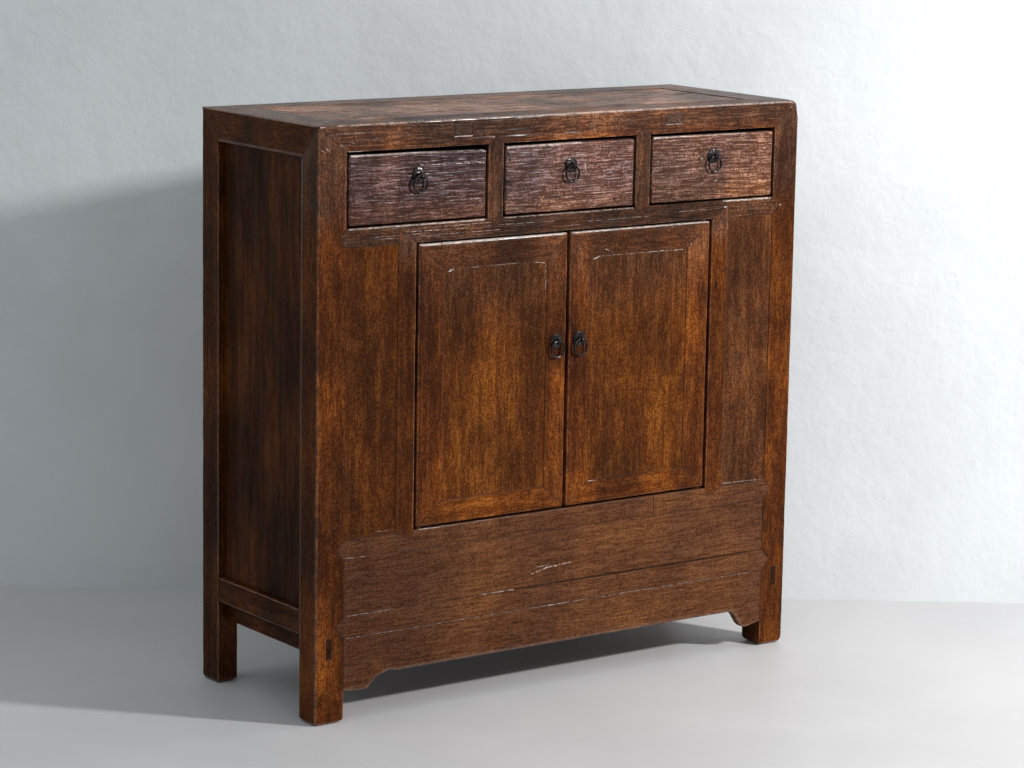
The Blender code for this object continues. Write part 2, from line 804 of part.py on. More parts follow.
def make_boss(name, grip):
    """A pull's domed boss with its eye, and the split pin through a board of thickness grip."""
    profile = bmesh.new()
    steps = 5
    points = [(0, boss_rim + boss_dome)]
    for step in range(1, steps + 1):
        share = step / steps
        points.append((boss_radius * share, boss_rim + boss_dome * (1 - share * share)))
    points += [(boss_radius, 0), (0, 0)]
    corners = [profile.verts.new((across, 0, up)) for across, up in points]
    for first, second in zip(corners, corners[1:]):
        profile.edges.new((first, second))
    mesh = bpy.data.meshes.new(name)
    profile.to_mesh(mesh)
    profile.free()
    made = add_object(name, mesh)
    screw = made.modifiers.new("turning", "SCREW")
    screw.steps = 24
    screw.render_steps = 24
    screw.use_merge_vertices = True
    screw.merge_threshold = weld_distance
    screw.use_normal_calculate = True
    settle(made)
    made.data.transform(Matrix.Rotation(pi / 2, 4, "X"))
    eye_place = Matrix.Translation((0, -eye_stand_off, 0)) @ Matrix.Rotation(pi / 2, 4, "Y")
    eye = torus(name + "_eye", eye_hole_radius + eye_wire_radius, eye_wire_radius, 16, 8, eye_place)
    shank = rod(
        name + "_shank", (0, -boss_rim / 2, 0), (0, grip + fit_gap + leg_thickness, 0), shank_radius, 10)
    legs = block(
        name + "_legs", (-leg_length / 2, grip + fit_gap, -leg_width / 2),
        (leg_length / 2, grip + fit_gap + leg_thickness, leg_width / 2))
    join(made, eye, shank, legs)
    mesh = settle(made)
    mesh.shade_smooth()
    mesh.set_sharp_from_angle(angle=pi / 5)
    bpy.data.objects.remove(made)
    return mesh


def make_ring_mesh():
    """The ring, whose origin is on its hinge axis at the middle of its wire."""
    hang_down = Matrix.Translation((0, 0, -ring_radius)) @ Matrix.Rotation(pi / 2, 4, "X")
    ring = torus("ring", ring_radius, ring_wire_radius, 28, 8, hang_down)
    mesh = ring.data
    bpy.data.objects.remove(ring)
    return mesh


def add_pull(name, x, z, board, grip, boss_mesh, ring_mesh):
    """A ring pull on a board: the boss, the ring in its eye, and the hole for the pin."""
    boss = add_object("pull_boss_" + name, boss_mesh.copy())
    boss.location = (x, front - fit_gap, z)
    hole = rod(
        "pull_hole_" + name, (x, front - cut_overrun, z), (x, front + grip + cut_overrun, z),
        shank_radius + fit_gap, 10)
    cut(board, hole)
    ring = add_object("pull_ring_" + name, ring_mesh.copy())
    rest_drop = eye_hole_radius - ring_wire_radius - fit_gap
    ring.location = (x, front - fit_gap - eye_stand_off, z - rest_drop)
    paint(iron, boss, ring)
    return boss, ring


def make_drawer(name, place, boss_mesh, ring_mesh):
    """One drawer: its front, its box behind it, and its pull."""
    half_opening = drawer_opening_width / 2
    half_front = half_opening - drawer_front_side_gap
    low = deck_top + drawer_front_foot_gap
    high = deck_top + drawer_opening_height - drawer_front_top_gap
    face = block(
        "drawer_front_" + name, (place - half_front, front, low),
        (place + half_front, front + drawer_front_thickness, high))
    round_edges(face, drawer_front_arris, 2, (1, front))
    half_box = half_opening - drawer_side_clearance
    box_low = deck_top + fit_gap
    box_front = front + drawer_front_thickness + fit_gap
    box_back = back_panel_front - drawer_rear_clearance
    box_top = box_low + drawer_wall_height
    box = block(
        "drawer_box_" + name, (place - half_box, box_front, box_low),
        (place + half_box, box_back, box_top))
    floor_low = box_low + drawer_bottom_lift
    cut(box, block(
        "drawer_hollow_" + name,
        (place - half_box + drawer_wall, box_front - cut_overrun, floor_low + drawer_bottom_thickness),
        (place + half_box - drawer_wall, box_back - drawer_wall, box_top + cut_overrun)))
    cut(box, block(
        "drawer_underside_" + name,
        (place - half_box + drawer_wall, box_front - cut_overrun, box_low - cut_overrun),
        (place + half_box - drawer_wall, box_back - drawer_wall, floor_low)))
    boss, ring = add_pull(
        name, place, (low + high) / 2 + pull_drawer_rise, face, drawer_front_thickness, boss_mesh,
        ring_mesh)
    hang("drawer_slide_" + name, (place, front, box_low), face, box, boss, ring)
    paint(drawer_elm, face)
    paint(plain_wood, box)


def make_door(name, side, mid_rail, lower_rail, boss_mesh, ring_mesh):
    """One door: mitred frame, panel, wooden pivot pins and pull."""
    hinge_edge = side * (jamb_inner - door_side_gap)
    meeting_edge = side * door_meeting_gap / 2
    low = lower_rail_top + door_foot_gap
    high = mid_rail_bottom - door_top_gap
    rear = front + door_thickness
    hinge_inner = hinge_edge - side * hinge_stile_width
    meeting_inner = meeting_edge + side * meeting_stile_width
    panel_low = low + door_bottom_rail_width
    panel_high = high - door_top_rail_width

    def upright(piece_name, outer, inner):
        near, far = sorted((outer, inner))
        made = block(piece_name, (near, front, low), (far, rear, high))
        round_edges(made, door_arris, 2, (0, outer), (1, front))
        way = 1 if inner > outer else -1
        for edge, opening in ((low, panel_low), (high, panel_high)):
            line = (inner - outer, 0, opening - edge)
            mitre(made, (outer, front, edge), line, (0, 1, 0), (-way, 0, 0))
        return made

    def level(piece_name, edge, opening):
        near, far = sorted((hinge_edge, meeting_edge))
        bottom, top = sorted((edge, opening))
        made = block(piece_name, (near, front, bottom), (far, rear, top))
        round_edges(made, door_arris, 2, (2, edge), (1, front))
        for outer, inner in ((hinge_edge, hinge_inner), (meeting_edge, meeting_inner)):
            line = (inner - outer, 0, opening - edge)
            mitre(made, (outer, front, edge), line, (0, 1, 0), (inner - outer, 0, 0))
        return made

    hinge_stile = upright("door_hinge_stile_" + name, hinge_edge, hinge_inner)
    meeting_stile = upright("door_meeting_stile_" + name, meeting_edge, meeting_inner)
    top_rail = level("door_top_rail_" + name, high, panel_high)
    bottom_rail = level("door_bottom_rail_" + name, low, panel_low)
    near, far = sorted((hinge_inner, meeting_inner))
    field_front = front + door_panel_drop
    field_back = field_front + door_panel_thickness
    field, groove = panel(
        "door_panel_" + name, (near, field_front, panel_low), (far, field_back, panel_high),
        1, field_back - tongue_thickness)
    for member in (hinge_stile, meeting_stile, top_rail, bottom_rail):
        cut(member, groove)

    pivot_x = hinge_edge - side * pivot_inset
    pivot_y = front + pivot_depth
    for end_name, edge, way, rail, mitred in (
            ("foot", low, -1, lower_rail, bottom_rail), ("head", high, 1, mid_rail, top_rail)):
        gap = door_foot_gap if way < 0 else door_top_gap
        root = edge - way * (door_top_rail_width / 2)
        tip = edge + way * (gap + pivot_length)
        pin = rod(
            "door_pivot_" + end_name + "_" + name, (pivot_x, pivot_y, root), (pivot_x, pivot_y, tip),
            pivot_radius, 20)
        join(hinge_stile, pin)
        bore = rod(
            "door_bore_" + end_name + "_" + name, (pivot_x, pivot_y, root - way * fit_gap),
            (pivot_x, pivot_y, tip + way * fit_gap), pivot_radius + fit_gap, 20)
        cut(rail, bore)
        cut(mitred, bore)
    pull_x = (meeting_edge + meeting_inner) / 2
    boss, ring = add_pull(
        "door_" + name, pull_x, (low + high) / 2 + pull_door_rise, meeting_stile, door_thickness,
        boss_mesh, ring_mesh)
    hang("door_pivot_" + name, (pivot_x, pivot_y, low),
         hinge_stile, meeting_stile, top_rail, bottom_rail, field, boss, ring)
    paint(door_elm, hinge_stile, meeting_stile, top_rail, bottom_rail, field)


for old in list(bpy.data.objects):
    bpy.data.objects.remove(old, do_unlink=True)

parts = new_collection("sideboard")
tools = new_collection("cutters")

frame_elm = new_material("frame_elm", (0.105, 0.042, 0.020), 0.38)
door_elm = new_material("door_elm", (0.150, 0.058, 0.024), 0.36)
drawer_elm = new_material("drawer_elm", (0.100, 0.045, 0.030), 0.34)
top_elm = new_material("top_elm", (0.090, 0.055, 0.042), 0.42)
plain_wood = new_material("plain_wood", (0.260, 0.165, 0.095), 0.70)
iron = new_material("iron", (0.018, 0.016, 0.015), 0.45, 0.9)

carcass = make_carcass()
for piece_name, piece in carcass.items():
    hidden = piece_name in ("drawer_deck", "cupboard_floor", "bottom_board", "rear_mid_rail",
                            "back_panel", "rear_bottom_rail")
    paint(plain_wood if hidden else top_elm if piece_name == "top_panel" else frame_elm, piece)

drawer_boss = make_boss("drawer_boss", drawer_front_thickness)
door_boss = make_boss("door_boss", door_thickness)
hanging_ring = make_ring_mesh()
for drawer_name, step in (("left", -1), ("middle", 0), ("right", 1)):
    make_drawer(
        drawer_name, step * (drawer_opening_width + divider_width), drawer_boss, hanging_ring)
for door_name, door_side in SIDES:
    make_door(
        door_name, door_side, carcass["mid_rail"], carcass["lower_rail"], door_boss, hanging_ring)
bpy.context.view_layer.update()
print("Sideboard built:", len([made for made in parts.objects if made.type == "MESH"]), "pieces")
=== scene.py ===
# %% [markdown]
# # An old lacquered elm sideboard
# This lesson dresses a low cabinet from northern China: a framed case of elm under dark lacquer,
# three drawers over two doors that turn on wooden pins, and five iron ring pulls. The solid model
# of the case is loaded first, and every board seen here is made to fit it.

# %% Load the solid model
import json
import math

import bmesh
import bpy
import numpy
from mathutils import Euler, Matrix, Vector
from mathutils.bvhtree import BVHTree

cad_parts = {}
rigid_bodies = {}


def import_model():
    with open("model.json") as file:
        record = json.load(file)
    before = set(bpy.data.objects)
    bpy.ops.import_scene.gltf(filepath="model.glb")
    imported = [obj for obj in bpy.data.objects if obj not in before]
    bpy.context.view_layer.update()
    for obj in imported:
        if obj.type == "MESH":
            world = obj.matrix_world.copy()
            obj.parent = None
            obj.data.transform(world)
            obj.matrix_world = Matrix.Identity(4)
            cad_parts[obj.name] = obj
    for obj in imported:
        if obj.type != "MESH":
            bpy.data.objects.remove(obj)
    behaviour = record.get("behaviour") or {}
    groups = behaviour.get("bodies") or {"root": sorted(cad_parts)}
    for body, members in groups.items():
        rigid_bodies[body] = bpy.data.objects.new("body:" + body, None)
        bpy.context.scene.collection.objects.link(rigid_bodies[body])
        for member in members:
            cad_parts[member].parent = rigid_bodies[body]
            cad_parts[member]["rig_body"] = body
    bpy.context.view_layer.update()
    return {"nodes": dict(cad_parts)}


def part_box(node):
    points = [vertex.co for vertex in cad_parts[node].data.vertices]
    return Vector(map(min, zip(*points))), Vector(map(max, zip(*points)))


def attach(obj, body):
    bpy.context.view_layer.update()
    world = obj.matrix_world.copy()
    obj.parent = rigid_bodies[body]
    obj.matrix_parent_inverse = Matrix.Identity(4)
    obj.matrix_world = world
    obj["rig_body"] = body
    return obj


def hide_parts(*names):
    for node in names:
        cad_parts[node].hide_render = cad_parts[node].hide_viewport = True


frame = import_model()

# %% [markdown]
# ## The camera
# The picture looks at the cabinet from its left front corner, a little above the top, with a long
# lens. A long lens keeps the uprights nearly parallel, as a furniture photographer wants them.
# The camera is placed by an angle round the cabinet, a height angle, a small roll and a distance.

# %% Camera
AZIMUTH, ELEVATION, ROLL = -0.6302, 0.1815, 0.0172
EYE = Vector((-3.23614, -4.46070, 1.51437))
FOCAL_PIXELS = 3164.2


def in_scene(thing):
    """Puts a new object in the scene."""
    bpy.context.scene.collection.objects.link(thing)
    return thing


def camera_axes(azimuth, elevation, roll):
    """Right, up and back directions of a camera that looks at the cabinet."""
    back = Vector((math.sin(azimuth) * math.cos(elevation),
                   -math.cos(azimuth) * math.cos(elevation), math.sin(elevation)))
    right = Vector((math.cos(azimuth), math.sin(azimuth), 0))
    up = back.cross(right)
    turned_right = right * math.cos(roll) + up * math.sin(roll)
    turned_up = up * math.cos(roll) - right * math.sin(roll)
    return turned_right, turned_up, back


camera = in_scene(bpy.data.objects.new("camera", bpy.data.cameras.new("camera")))
camera.data.sensor_width = 36
camera.data.lens = FOCAL_PIXELS / 1024 * camera.data.sensor_width
pose = Matrix(camera_axes(AZIMUTH, ELEVATION, ROLL)).transposed().to_4x4()
pose.translation = EYE
camera.matrix_world = pose
bpy.context.scene.camera = camera
print("lens", round(camera.data.lens, 1), "mm, eye", [round(v, 2) for v in EYE])

# %% [markdown]
# ## The room
# A pale painted floor and a pale wall, square to the camera's line of sight, stand close behind
# the cabinet. Their colours and the wood's are built from small shader nodes, so the helpers for
# these come first: a signal is one node's output, and it adds and multiplies like a number.

# %% Node helpers
class Signal:
    """A node's output that takes +, -, * and / like a number. Each sign adds a maths node."""

    def __init__(self, tree, socket):
        self.tree, self.socket = tree, socket

    def __add__(self, other):
        return maths("ADD", self, other)

    def __sub__(self, other):
        return maths("SUBTRACT", self, other)

    def __rsub__(self, other):
        return maths("SUBTRACT", other, self)

    def __mul__(self, other):
        return maths("MULTIPLY", self, other)

    def __truediv__(self, other):
        return maths("DIVIDE", self, other)


def feed(node, inputs):
    """Sets a node's inputs, each from a signal, a socket, a number or a colour."""
    for name, value in inputs.items():
        socket, value = node.inputs[name], getattr(value, "socket", value)
        if isinstance(value, bpy.types.NodeSocket):
            node.id_data.links.new(value, socket)
        elif isinstance(value, tuple) and len(value) == 3 and socket.type == "RGBA":
            socket.default_value = (*value, 1)
        else:
            socket.default_value = value


def add_node(tree, kind, inputs=None, **settings):
    """A node with its settings and its inputs."""
    node = tree.nodes.new(kind)
    for name, value in settings.items():
        setattr(node, name, value)
    feed(node, inputs or {})
    return node


def signal(tree, kind, inputs=None, output=0, **settings):
    """One output of a new node, as a signal."""
    return Signal(tree, add_node(tree, kind, inputs, **settings).outputs[output])


def maths(operation, *values):
    """One arithmetic step on signals and numbers."""
    tree = next(value.tree for value in values if isinstance(value, Signal))
    return signal(tree, "ShaderNodeMath", dict(enumerate(values)), operation=operation)


def hold(value, low=0.0, high=1.0):
    """A signal held between two numbers."""
    return maths("MINIMUM", maths("MAXIMUM", value, low), high)


def vectors(operation, *values, output=0):
    """One step on places or directions, at least the first of them a signal."""
    return signal(values[0].tree, "ShaderNodeVectorMath", dict(enumerate(values)), output,
                  operation=operation)


def length(place):
    """How far a place is from zero."""
    return vectors("LENGTH", place, output="Value")


def split(place):
    """The three numbers of a place."""
    node = add_node(place.tree, "ShaderNodeSeparateXYZ", {0: place})
    return [Signal(place.tree, output) for output in node.outputs]


def join(*parts):
    """Three signals as one place."""
    return signal(parts[0].tree, "ShaderNodeCombineXYZ", dict(enumerate(parts)))


def spread(value, low, high, to_low=0.0, to_high=1.0):
    """Maps a signal softly from one range to another and holds it there."""
    return signal(value.tree, "ShaderNodeMapRange", {
        "Value": value, "From Min": low, "From Max": high, "To Min": to_low, "To Max": to_high},
        interpolation_type="SMOOTHSTEP")


def noise(place, stretch, detail=3.0, rough=0.5, twist=0.0):
    """Noise with its own number of waves per metre on each axis."""
    return signal(place.tree, "ShaderNodeTexNoise", {
        "Vector": vectors("MULTIPLY", place, stretch), "Scale": 1.0, "Detail": detail,
        "Roughness": rough, "Distortion": twist})


def blend(amount, first, second, kind="MIX"):
    """Mixes two colours. At least one of the three is a signal."""
    tree = next(value.tree for value in (amount, first, second) if isinstance(value, Signal))
    return signal(tree, "ShaderNodeMix", {0: amount, 6: first, 7: second}, 2, data_type="RGBA",
                  blend_type=kind)


def tone(red, green, blue):
    """A paint or stain tone from its 0 to 255 values, as the light-linear numbers of a shader."""
    def linear(value):
        share = value / 255
        return share / 12.92 if share <= 0.04045 else ((share + 0.055) / 1.055) ** 2.4
    return linear(red), linear(green), linear(blue)


def new_material(name):
    """A material with its shader, its output and the object's own coordinates."""
    material = bpy.data.materials.new(name)
    material.use_nodes = True
    tree = material.node_tree
    place = signal(tree, "ShaderNodeTexCoord", output="Object")
    return material, tree.nodes["Principled BSDF"], tree.nodes["Material Output"], place


def emboss(shader, height, depth, strength=1.0):
    """Gives a shader the relief of a height signal."""
    feed(shader, {"Normal": signal(shader.id_data, "ShaderNodeBump", {
        "Height": height, "Strength": strength, "Distance": depth})})


def new_group(name, kind, inputs, outputs):
    """A node group, the signals it is given and its output node."""
    tree = bpy.data.node_groups.new(name, kind)
    for way, sockets in (("INPUT", inputs), ("OUTPUT", outputs)):
        for socket_kind, labels in sockets.items():
            for label in labels:
                tree.interface.new_socket(label, in_out=way, socket_type="NodeSocket" + socket_kind)
    given = {output.name: Signal(tree, output)
             for output in add_node(tree, "NodeGroupInput").outputs if output.name}
    return tree, given, add_node(tree, "NodeGroupOutput")


print("node helpers ready; a mid tone 128 is", round(tone(128, 128, 128)[0], 3), "in light")

# %% [markdown]
# The cabinet stands on a pale polished floor a little way before a white plaster wall. One sheet
# for each is enough, because only the light on them matters. Their paint is two soft noises, one
# for the colour and one for the trowel marks, and the wall is seen from the front only, so that a
# view from behind looks through it.

# %% Floor and wall
WALL_FORWARD, WALL_HEIGHT, STAGE_REACH = 0.475, 6.0, 14.0
FLOOR_TONE, WALL_TONE = tone(211, 208, 208), tone(238, 242, 244)
CLOUD_DARKER = 0.93
TROWEL_WAVES = (22, 22, 22)
forward = Vector((-math.sin(AZIMUTH), math.cos(AZIMUTH), 0))
sideways = Vector((math.cos(AZIMUTH), math.sin(AZIMUTH), 0))


def paint_material(name, colour, cloud_size, relief, roughness, one_sided):
    """Matt paint with faint clouds and trowel relief."""
    material, shader, output, place = new_material(name)
    cloud = noise(place, (1 / cloud_size,) * 3, 6, 0.6)
    darker = tuple(value * CLOUD_DARKER for value in colour)
    feed(shader, {"Roughness": roughness,
                  "Base Color": blend(spread(cloud, 0.35, 0.65), darker, colour)})
    emboss(shader, noise(place, TROWEL_WAVES, 5, 0.6), relief, 0.5)
    if one_sided:
        tree = shader.id_data
        facing = signal(tree, "ShaderNodeNewGeometry", output="Backfacing")
        clear = signal(tree, "ShaderNodeBsdfTransparent")
        feed(output, {"Surface": signal(tree, "ShaderNodeMixShader", {
            0: facing, 1: shader.outputs[0], 2: clear})})
    return material


def sheet(name, start, across, up, material):
    """A flat stage sheet from one corner and its two sides."""
    mesh = bpy.data.meshes.new(name)
    corners = (start, start + across, start + across + up, start + up)
    mesh.from_pydata([tuple(corner) for corner in corners], [], [(0, 1, 2, 3)])
    mesh.materials.append(material)
    made = in_scene(bpy.data.objects.new(name, mesh))
    return made


sheet("floor", Vector((-STAGE_REACH, -STAGE_REACH, 0)), Vector((2 * STAGE_REACH, 0, 0)),
      Vector((0, 2 * STAGE_REACH, 0)),
      paint_material("floor_paint", FLOOR_TONE, 0.5, 0.0012, 0.5, False))
wall = sheet("wall", forward * WALL_FORWARD - sideways * STAGE_REACH, sideways * 2 * STAGE_REACH,
             Vector((0, 0, WALL_HEIGHT)),
             paint_material("wall_paint", WALL_TONE, 0.35, 0.004, 0.7, True))
print("wall faces", [round(v, 2) for v in wall.data.polygons[0].normal])

# %% [markdown]
# ## Light
# One small soft lamp stands close by, right of the camera and above the top, and throws the
# cabinet's shadow on the wall and the floor. Because it is near, the left of the picture is dimmer.
# A soft sky, bright overhead and dim at the horizon, stands for a studio's ceiling: it fills the
# shadows and lays a pale gleam on edges that face up.

# %% Lamps and sky
KEY_PLACE, KEY_AIM = Vector((1.50, -2.40, 1.87)), Vector((-0.5, 0.6, 0.6))
KEY_SIZE, KEY_POWER = 0.20, 86
SKY_LOW, SKY_HIGH, SKY_TURN = 0.11, 0.70, 0.85
SKY_COLOUR = (0.90, 0.97, 1.0)


def soft_lamp(name, place, aim, size, power):
    """A square soft lamp that looks from one point at another."""
    lamp = bpy.data.lights.new(name, "AREA")
    lamp.size = size
    lamp.energy = power
    made = in_scene(bpy.data.objects.new(name, lamp))
    made.location = place
    made.rotation_euler = (aim - place).to_track_quat("-Z", "Y").to_euler()
    made.visible_camera = False


soft_lamp("key_lamp", KEY_PLACE, KEY_AIM, KEY_SIZE, KEY_POWER)
world = bpy.data.worlds.new("sky")
bpy.context.scene.world = world
world.use_nodes = True
sky_tree = world.node_tree
height = split(signal(sky_tree, "ShaderNodeTexCoord", output="Generated"))[2]
feed(sky_tree.nodes["Background"], {
    "Color": SKY_COLOUR, "Strength": spread(height, 0.0, SKY_TURN, SKY_LOW, SKY_HIGH)})
bpy.context.scene.view_settings.view_transform = "Standard"
print("key lamp", round(KEY_PLACE.length, 2), "m away")

# %% [markdown]
# ## Lacquered elm
# Elm has coarse pores in wavy growth rings, here under a thin brown lacquer that has worn off the
# corners and gathered dark in the hollows. The finish reads a place in the board, with the grain
# along its first axis: rings round a tilted pith, fibres, short dark pores and slow clouds of
# lacquer. Each board reads it at its own place, so no two boards show the same grain.

# %% The elm finish
# Tone of the pale strokes: mostly painted highlights along lit edges, partly pale scratches.
PALE_SCRATCH_AND_HIGHLIGHT = (0.84, 0.72, 0.65)
GREY_BROWN = (2.35, 1.22, 0.78)
DARKEST_GRAIN, DARKEST_SCAR = 0.38, 0.06
RING_BEND, FIBRE_BEND = (0.034, 0.006), (0.04, 0.012)
GRAIN_POWERS = (0.85, 1.1, 1.35)
# Waves per metre on each axis, detail, roughness and, for some, twist.
SWAY, RIPPLE = ((2.6, 9, 9), 2, 0.5), ((14, 42, 42), 3, 0.6)
GRAIN_PATTERNS = {
    "streak": ((3.0, 75, 75), 4, 0.6), "strand": ((11, 150, 150), 2, 0.5),
    "fibre": ((34, 430, 430), 3, 0.6), "pores": ((75, 760, 760), 2, 0.5),
    "fleck": ((150, 250, 250), 2, 0.5)}
LACQUER_PATTERNS = {
    "cloud": ((8, 8, 4.5), 3, 0.5, 0.3), "mottle": ((44, 44, 32), 3, 0.6, 0.5),
    "speck": ((330, 330, 300), 2, 0.8)}


def elm_patterns(given):
    """Every pattern of the finish: late wood of the rings, wandering fibres, lacquer clouds."""
    along, across, deep = split(given["Place"])
    sway, ripple = noise(given["Place"], *SWAY), noise(given["Place"], *RIPPLE)
    reach = maths("SQRT", across * across + deep * deep)
    bent = reach + sway * RING_BEND[0] + ripple * RING_BEND[1] + along * given["Tilt"]
    drift = sway * FIBRE_BEND[0] + ripple * FIBRE_BEND[1]
    wavy = join(along, across + drift, deep + drift)
    found = {name: noise(wavy, *numbers) for name, numbers in GRAIN_PATTERNS.items()}
    for name, numbers in LACQUER_PATTERNS.items():
        found[name] = noise(given["Cabinet"], *numbers)
    found["late"] = spread(maths("PINGPONG", bent / given["Rings"], 1.0), 0.40, 0.98)
    found["pores"] = spread(found["pores"], 0.54, 0.70)
    found["fleck"] = spread(found["fleck"], 0.61, 0.68)
    return found


def stain_colour(given, found):
    """The lacquer's colour: stain, rubbed places, grey (dust, and a painted sheen on tops) and
    tint.
    """
    mottle = found["mottle"]
    lay = found["cloud"] * 0.70 + mottle * 0.22 + found["streak"] * 0.08 + given["Shade"]
    colour = blend(spread(lay, 0.32, 0.62), given["Dark"], given["Body"])
    rub = spread(lay, 0.50, 0.74, 0, 0.9) + (given["Wear"] * given["Rubbed"]
                                             * spread(mottle, 0.40, 0.60))
    colour = blend(hold(rub), colour, given["Worn"])
    # Grey: dust, and on the top faces partly a painted reflection of the pale wall.
    dust_and_sheen = blend(1.0, signal(colour.tree, "ShaderNodeRGBToBW", {0: colour}), GREY_BROWN,
                  "MULTIPLY")
    colour = blend(given["Grey"] * spread(mottle, 0.36, 0.62, 1.0, 0.55), colour, dust_and_sheen)
    return blend(1.0, colour, given["Tint"], "MULTIPLY")


def grain_depth(given, found):
    """How much darker the rings, fibres, pores, dust, hollows and joints make a place."""
    lines = (spread(found["fibre"], 0.34, 0.66, -0.52, 0.60) + found["pores"] * 0.40
             + spread(found["strand"], 0.32, 0.68, -0.11, 0.13))
    dust = spread(found["speck"], 0.34, 0.66, -1.2, 1.3) * given["Speck"]
    seam = given["Seam"] * spread(found["mottle"], 0.38, 0.60, 0.05, 0.42)
    return ((found["late"] - 0.4) * given["Figure"] + lines * given["Fibre"] + dust
            + found["fleck"] * 0.25 + given["Groove"] * 0.55 + seam)


print("patterns of the finish:", ", ".join([*GRAIN_PATTERNS, *LACQUER_PATTERNS]))

# %% [markdown]
# The group puts these together. Grain darkens the stain by a power for each of red, green and
# blue, because thin dark lacquer goes red before it goes black. Scars and painted highlights come
# last, since they cut through everything. The relief sinks at fibres, pores and flecks, and the
# thin glossy coat lies where the lacquer has pooled or where hands have polished the wear.

# %% The finish as one group
def elm_group():
    """Node group from a place in the board to colour, roughness, relief and lacquer coat."""
    tree, given, result = new_group("lacquered_elm", "ShaderNodeTree", {
        "Vector": ("Place", "Cabinet"), "Color": ("Dark", "Body", "Worn", "Tint"),
        "Float": ("Wear", "Groove", "Seam", "Shade", "Rings", "Tilt", "Figure", "Fibre", "Speck",
                  "Grey", "Rubbed", "Gloss", "Lacquer", "Mark")},
        {"Color": ("Colour",), "Float": ("Roughness", "Height", "Coat")})
    found = elm_patterns(given)
    mottle, grain = found["mottle"], grain_depth(given, found)
    keep = maths("MAXIMUM", 1.0 - grain, DARKEST_GRAIN)
    deepened = join(*(maths("POWER", keep, power) for power in GRAIN_POWERS))
    shaded = blend(1.0, stain_colour(given, found), deepened, "MULTIPLY")
    # Pale strokes: painted highlights where edges would catch the lamp, and some pale scratches.
    shaded = blend(hold(given["Mark"] * -1.0), shaded, PALE_SCRATCH_AND_HIGHLIGHT)
    scarred_and_highlighted = signal(tree, "ShaderNodeVectorMath", {
        0: shaded, "Scale": hold(1.0 - given["Mark"], DARKEST_SCAR)}, operation="SCALE")
    feed(result, {
        "Colour": scarred_and_highlighted,
        "Roughness": given["Gloss"] + spread(mottle, 0.3, 0.7, -0.07, 0.10) + grain * 0.14,
        "Height": (spread(found["fibre"], 0.25, 0.75) * -0.62 - found["late"] * 0.12
                   - found["pores"] * 0.22 - found["fleck"] * 0.60 + mottle * 0.9),
        "Coat": hold(given["Wear"] * 0.95 + spread(mottle, 0.42, 0.60, 0.35, 1.0) * given["Lacquer"]
                     + given["Seam"] * spread(found["speck"], 0.50, 0.60, 0.0, 0.7))})
    return tree


ELM_GROUP = elm_group()
print("elm finish:", len(ELM_GROUP.nodes), "nodes")

# %% [markdown]
# A scratch in lacquer is never ruled, nor is a painted highlight line along an edge. One stroke
# is the distance to a straight line between two places, bent by a noise and broken by another,
# and it fades out behind the front so that it doesn't run through the board.

# %% One stroke, for scars and painted highlights
BEND_WAVES, BEND_HEIGHT = 55.0, 0.0024
HOLE_WAVES = (110, 210, 160)
FRONT_SKIN = (-0.180, -0.174)


def stroke_group():
    """Node group for one stroke, a scar or a painted highlight, on a front: how much lies at a
    place.
    """
    tree, given, result = new_group("scar_and_highlight_stroke", "ShaderNodeTree", {
        "Vector": ("Place", "Start", "Reach"), "Float": ("Width", "Amount", "Ragged")},
        {"Float": ("Scar and highlight",)})
    place, reach = given["Place"], given["Reach"]
    bend = signal(tree, "ShaderNodeTexNoise", {
        "Vector": place, "Scale": BEND_WAVES, "Detail": 3.0}, "Color")
    bent = vectors("MULTIPLY_ADD", bend, (0.0, 0.0, BEND_HEIGHT), place)
    bent = vectors("SUBTRACT", bent, (0.0, 0.0, BEND_HEIGHT / 2))
    flat = vectors("MULTIPLY", vectors("SUBTRACT", bent, given["Start"]), (1.0, 0.0, 1.0))
    share = hold(vectors("DOT_PRODUCT", flat, reach, output="Value")
                 / vectors("DOT_PRODUCT", reach, reach, output="Value"))
    nearest = signal(tree, "ShaderNodeVectorMath", {0: reach, "Scale": share}, operation="SCALE")
    half = given["Width"] * 0.5
    amount = spread(length(vectors("SUBTRACT", flat, nearest)), half * 0.5, half,
                    given["Amount"], 0.0)
    holes = spread(noise(place, HOLE_WAVES, 4, 0.8), 0.42, 0.60)
    kept = (1.0 - given["Ragged"] * (1.0 - holes)) * spread(split(place)[1], *FRONT_SKIN, 1.0, 0.0)
    feed(result, {"Scar and highlight": amount * kept})
    return tree


STROKE_GROUP = stroke_group()
print("scar stroke:", len(STROKE_GROUP.nodes), "nodes")

# %% [markdown]
# A board's material is the shared finish with that board's own stain, figure and place. The grain
# runs along X, Y or Z, so a Mapping node turns it on to the first axis and sets the pith some way
# under the face. Soft spots, tints and scars are added to what the finish is given.

# %% Board material
TURNS = {"X": Euler((0, 0, 0)), "Y": Euler((0, 0, -math.pi / 2)), "Z": Euler((0, math.pi / 2, 0))}
STAINS = {  # dark, body and worn
    "frame": ((66, 33, 12), (108, 57, 20), (152, 86, 30)),
    "low": ((82, 50, 33), (100, 62, 38), (117, 74, 40)),
    "panel": ((68, 36, 13), (108, 59, 20), (136, 79, 26)),
    "drawer": ((70, 51, 49), (104, 73, 63), (132, 94, 76)),
    # The top's pale greyish stain is partly a painted reflection of the pale wall.
    "top": ((82, 60, 54), (147, 112, 98), (184, 145, 128)),
    "side": ((50, 26, 11), (84, 45, 18), (108, 62, 24)),
    "plug": ((66, 44, 32), (92, 66, 52), (120, 90, 74)),
}
PLAIN_LOOK = dict(rings=0.0046, tilt=0.03, figure=0.04, fibre=0.60, speck=0.36, rubbed=0.5,
                  gloss=0.36, grey=0.0, lacquer=0.0)
SHADER_SPECULAR = 0.06
FRONT_DEPTH = -0.18


def ramp(place, axis, start, end, amount=1.0):
    """Zero before one place on an axis, the amount past the other."""
    return spread(split(place)[axis], start, end, 0.0, amount)


